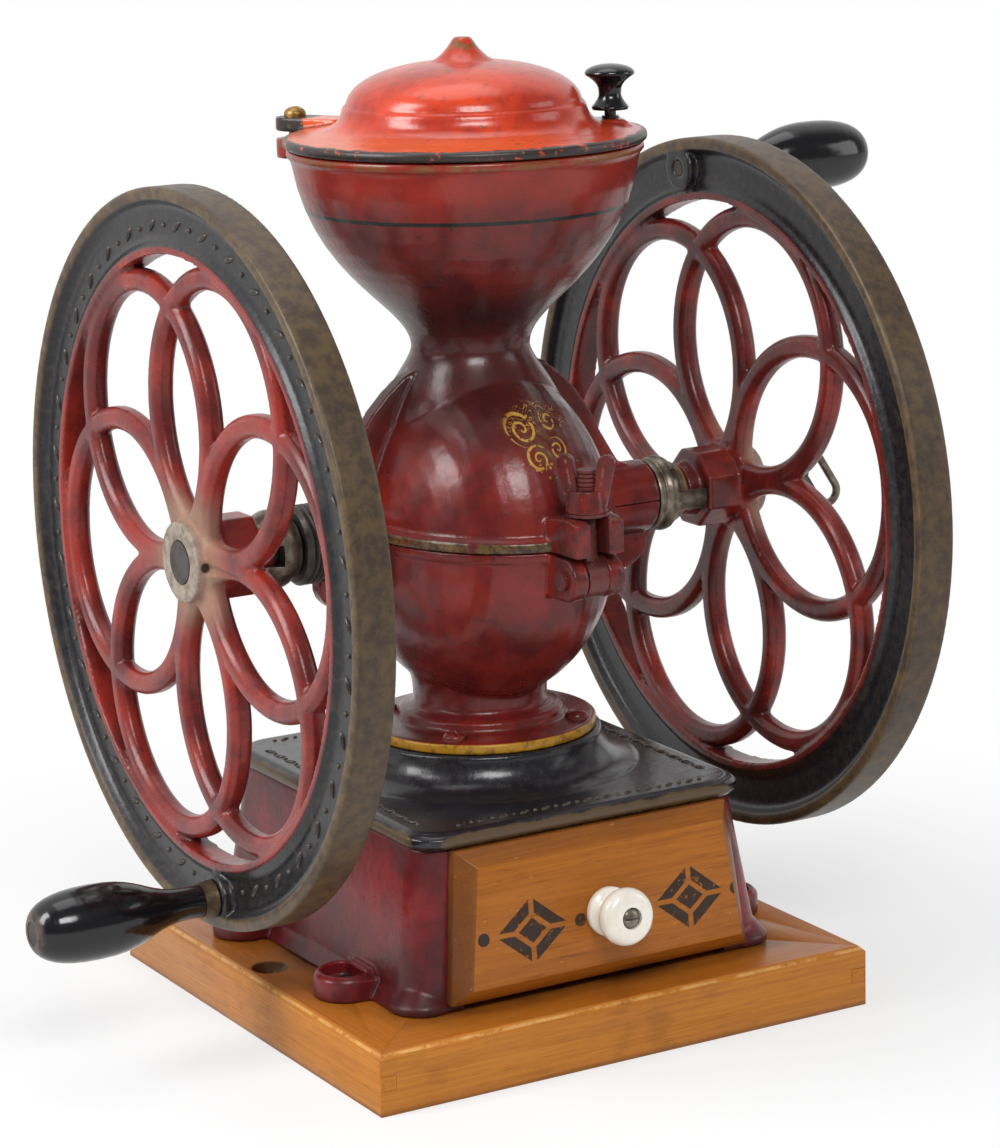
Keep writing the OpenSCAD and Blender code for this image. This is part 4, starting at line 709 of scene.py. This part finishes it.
def painted_iron():
    """Bolts and pins under crimson that has gone nearly black."""
    finish, colour, speck = enamel("painted_iron", tone(104, 36, 32), tone(48, 30, 28))
    rubbed = finish.noise(3, 4, 0.7).rise(0.58, 0.68)
    colour = finish.mix(rubbed * 0.6, colour, tone(104, 92, 84))
    return finish.surface(colour, 0.24 + speck * 0.2, finish.cast_bump(0.06))


def grip_lacquer():
    """The grips: turned wood under black lacquer, brown where hands rubbed the end."""
    finish = Finish("grip_lacquer")
    x, _, _ = finish.xyz()
    speck = finish.noise(2.2, 4, 0.7)
    end = abs(x).rise(GRIP_END - 2.25, GRIP_END - 0.45)
    colour = finish.mix(speck.rise(0.6, 0.78) * 0.4, tone(15, 14, 17), tone(52, 46, 46))
    colour = finish.mix(end * finish.noise(5, 3).rise(0.35, 0.6) * 0.7, colour, tone(92, 74, 68))
    fine = finish.noise(0.8, 3, 0.6, where=finish.stretched(0.1, 1, 1))
    return finish.surface(colour, 0.1 + speck * 0.1 + end * 0.2, finish.bump(fine + finish.noise(6, 2), 0.03))


def china():
    """The drawer's white china knob."""
    finish = Finish("china")
    craze = finish.cells(3.4, feature="DISTANCE_TO_EDGE")
    cloud = finish.noise(12, 3).rise(0.4, 0.7)
    colour = finish.mix(cloud, tone(238, 233, 222), tone(228, 219, 202))
    colour = finish.mix(craze.rise(0.03, 0.0) * 0.12, colour, tone(170, 150, 124))
    return finish.surface(colour, 0.1 + finish.noise(5) * 0.08, finish.bump(finish.noise(9, 2), 0.08),
                          Coat_Weight=0.5, Coat_Roughness=0.06)


HOUSING, LID, WHEEL = housing_enamel(), lid_enamel(), wheel_enamel()
PLATE, CASE = black_japan(), case_enamel()
BOARD_ACROSS, BOARD_DEEP = board_wood("board_wood_across", 0), board_wood("board_wood_deep", 1)
FRONT, INNER = front_wood(), inner_wood()
STEEL = metal("old_steel", tone(138, 128, 114), tone(88, 78, 68), tone(58, 40, 30), 0.85, 0.24)
IRON = metal("plain_iron", tone(78, 72, 68), tone(48, 44, 43), tone(66, 42, 32), 0.6, 0.34)
BRASS = metal("old_brass", tone(160, 124, 66), tone(104, 80, 46), tone(54, 42, 30), 0.85, 0.28)
FERRULE = metal("brown_ferrule", tone(96, 78, 54), tone(58, 46, 36), tone(38, 30, 26), 0.7, 0.3)
PAINTED, GRIP, CHINA = painted_iron(), grip_lacquer(), china()


# Castings
def casting(node, finish, voxel, melt):
    """A CAD node as it comes out of the sand: one skin with its corners melted."""
    piece(node + "_casting", carved(from_node(node), voxel, melt), finish, node, crease=60)


def raised(node, form, finish):
    """Cast ornament that stands on a node."""
    name = node + "_ornament"
    piece(name, form.mesh(name), finish, node, stands_for=False, crease=60)


WEB_FACE, BORDER_REACH, BORDER_LEAVES, BORDER_SLANT = 119.35, 122.4, 36, 58


def wheel_border():
    """A raised border of leaves and beads on the right flywheel's outer web."""
    leaf, bead = dome((3.6, 1.3, 1.1), 14), dome((1.1, 1.1, 1.0), 12)
    step = 360 / BORDER_LEAVES
    forms = []
    for k in range(BORDER_LEAVES):
        forms.append(leaf.moved(turn(step * k), shift(BORDER_REACH), turn(BORDER_SLANT)))
        forms.append(bead.moved(turn(step * (k + 0.5)), shift(BORDER_REACH)))
    return joined(forms).moved(shift(WEB_FACE, 0, SHAFT_Z), turn(90, "Y"))


PLATE_FLAT, BORDER_INSET, CORNER_GAP, LEAF_STEP, LEAF_SLANT = 89.5, 8.5, 17, 9, 28


def plate_border():
    """A raised row of leaves and beads round the top plate, inside its edge."""
    leaf, bead = dome((2.7, 1.0, 0.8), 12), dome((0.9, 0.9, 0.8), 10)
    forms = []
    for side in range(4):
        half_length, half_depth = (PLATE_X, PLATE_Y) if side % 2 == 0 else (PLATE_Y, PLATE_X)
        length, reach = half_length - CORNER_GAP, half_depth - BORDER_INSET
        count = round(2 * length / LEAF_STEP)
        for i in range(count):
            along = length * (2 * i + 1 - count) / count
            place = turn(90 * side) @ shift(along, -reach, PLATE_FLAT)
            forms.append(leaf.moved(place, turn(LEAF_SLANT)))
            forms.append(bead.moved(place, shift(length / count)))
    return joined(forms)


casting("lower_housing", HOUSING, 0.8, 3)
casting("upper_housing", HOUSING, 0.8, 3)
casting("base_case", CASE, 0.8, 3)
casting("top_plate", PLATE, 0.7, 3)
casting("lid", LID, 0.65, 3)
casting("left_wheel", WHEEL, 0.8, 4)
casting("right_wheel", WHEEL, 0.8, 4)
casting("wing_nut", HOUSING, 0.35, 2)
raised("left_wheel", wheel_border().moved(mirror_x()), WHEEL)
raised("right_wheel", wheel_border(), WHEEL)
raised("top_plate", plate_border(), PLATE)


# Woodwork
def joinery(node, finish, ease):
    """A wooden CAD node with its arrises eased."""
    piece(node + "_wood", carved(from_node(node), bevel=ease), finish, node, crease=50)


joinery("board_front_rail", BOARD_ACROSS, 0.25)
joinery("board_back_rail", BOARD_ACROSS, 0.25)
joinery("board_left_rail", BOARD_DEEP, 0.25)
joinery("board_right_rail", BOARD_DEEP, 0.25)
joinery("drawer_front", FRONT, 0.6)
dress(["board_panel"], BOARD_DEEP)
dress(["drawer_left_side", "drawer_right_side", "drawer_back", "drawer_bottom", "drawer_runners"], INNER)


# Turned pieces and hardware
def turned(names, finish):
    """CAD nodes off the lathe, each one smooth from ring to ring."""
    for name in names:
        piece(name + "_turned", from_node(name), finish, name, crease=32)


turned(["left_grip", "right_grip", "lid_knob", "lid_knob_stem"], GRIP)
turned(["drawer_knob"], CHINA)
turned(["left_ferrule", "right_ferrule"], FERRULE)
turned(["adjusting_nut", "left_ball_nut", "regulating_screw", "drawer_knob_screw"], STEEL)
turned(["lid_pivot_screw"], BRASS)
turned(["clamp_pin", "clamp_bolt"], PAINTED)
turned(["flange_screws"], HOUSING)
dress(["clamp_washer"], PAINTED)
dress(["left_bush", "right_bush", "thrust_washer"], BRASS)
dress(["foot_screws", "plate_screws", "hinge_pin", "shaft", "feed_worm", "fixed_burr", "turning_burr",
       "burr_key", "thread_collar", "hub_pins", "left_spindle", "right_spindle", "chute_screws"], IRON)
dress(["feed_chute"], HOUSING)


# Studio
ROOM_LIGHT = 0.21
LAMP_AIM = (0, 0, 0.19)
FLOOR_HALF, FLOOR_DEPTH, FLOOR_GAP = 6000, 20, 0.05
SHADOW_NEAR, SHADOW_FAR = 150, 420


def floor():
    """The pale floor: it keeps the object's soft shadow and whitens away from it."""
    finish = Finish("floor")
    x, y, _ = finish.xyz()
    matt = finish.node("ShaderNodeBsdfDiffuse", None, {"Color": (0.86, 0.86, 0.86, 1)})
    white = finish.node("ShaderNodeEmission", None, {"Color": (1, 1, 1, 1), "Strength": 1.0})
    camera, glossy = finish.white_rays()
    away = ((x * x + y * y) ** 0.5).rise(SHADOW_NEAR, SHADOW_FAR)
    share = camera * (0.6 + away * 0.4)
    shader = finish.node("ShaderNodeMixShader", None, {0: share.most(glossy * 0.7), 1: matt, 2: white})
    finish.node("ShaderNodeOutputMaterial", None, {"Surface": shader})
    made = bpy.data.objects.new("floor", slab(FLOOR_HALF, -FLOOR_DEPTH, -FLOOR_GAP).mesh("floor"))
    made.data.materials.append(finish.material)
    SCENE.collection.objects.link(made)


def softbox(name, place, width, height, power):
    data = bpy.data.lights.new(name, "AREA")
    data.shape, data.size, data.size_y, data.energy = "RECTANGLE", width, height, power
    lamp = bpy.data.objects.new(name, data)
    lamp.location = place
    lamp.rotation_euler = (Vector(LAMP_AIM) - Vector(place)).to_track_quat("-Z", "Y").to_euler()
    SCENE.collection.objects.link(lamp)


def studio():
    """Soft boxes round the table, a white sweep behind it and a dim room in front."""
    world = bpy.data.worlds.new("studio")
    world.use_nodes = True
    air = Nodes(world.node_tree)
    camera, glossy = air.white_rays()
    _, depth, _ = air.axes(air.node("ShaderNodeTexCoord", output="Generated"))
    sweep = depth.rise(-0.3, 0.3) * 0.78 + 0.22
    level = camera.most(glossy * sweep).most(ROOM_LIGHT)
    light = air.node("ShaderNodeBackground", None, {"Color": (1, 1, 1, 1), "Strength": level})
    air.node("ShaderNodeOutputWorld", None, {"Surface": light})
    SCENE.world = world
    softbox("window", (-1.4, 0.1, 1.15), 0.6, 1.0, 23)
    softbox("front", (-0.5, -1.5, 1.4), 0.8, 0.5, 20)
    softbox("fill", (1.35, -0.9, 0.7), 0.7, 0.9, 5)
    softbox("top", (0.0, 0.2, 1.7), 1.0, 1.0, 6)
    SCENE.view_settings.view_transform = "Standard"


floor()
studio()
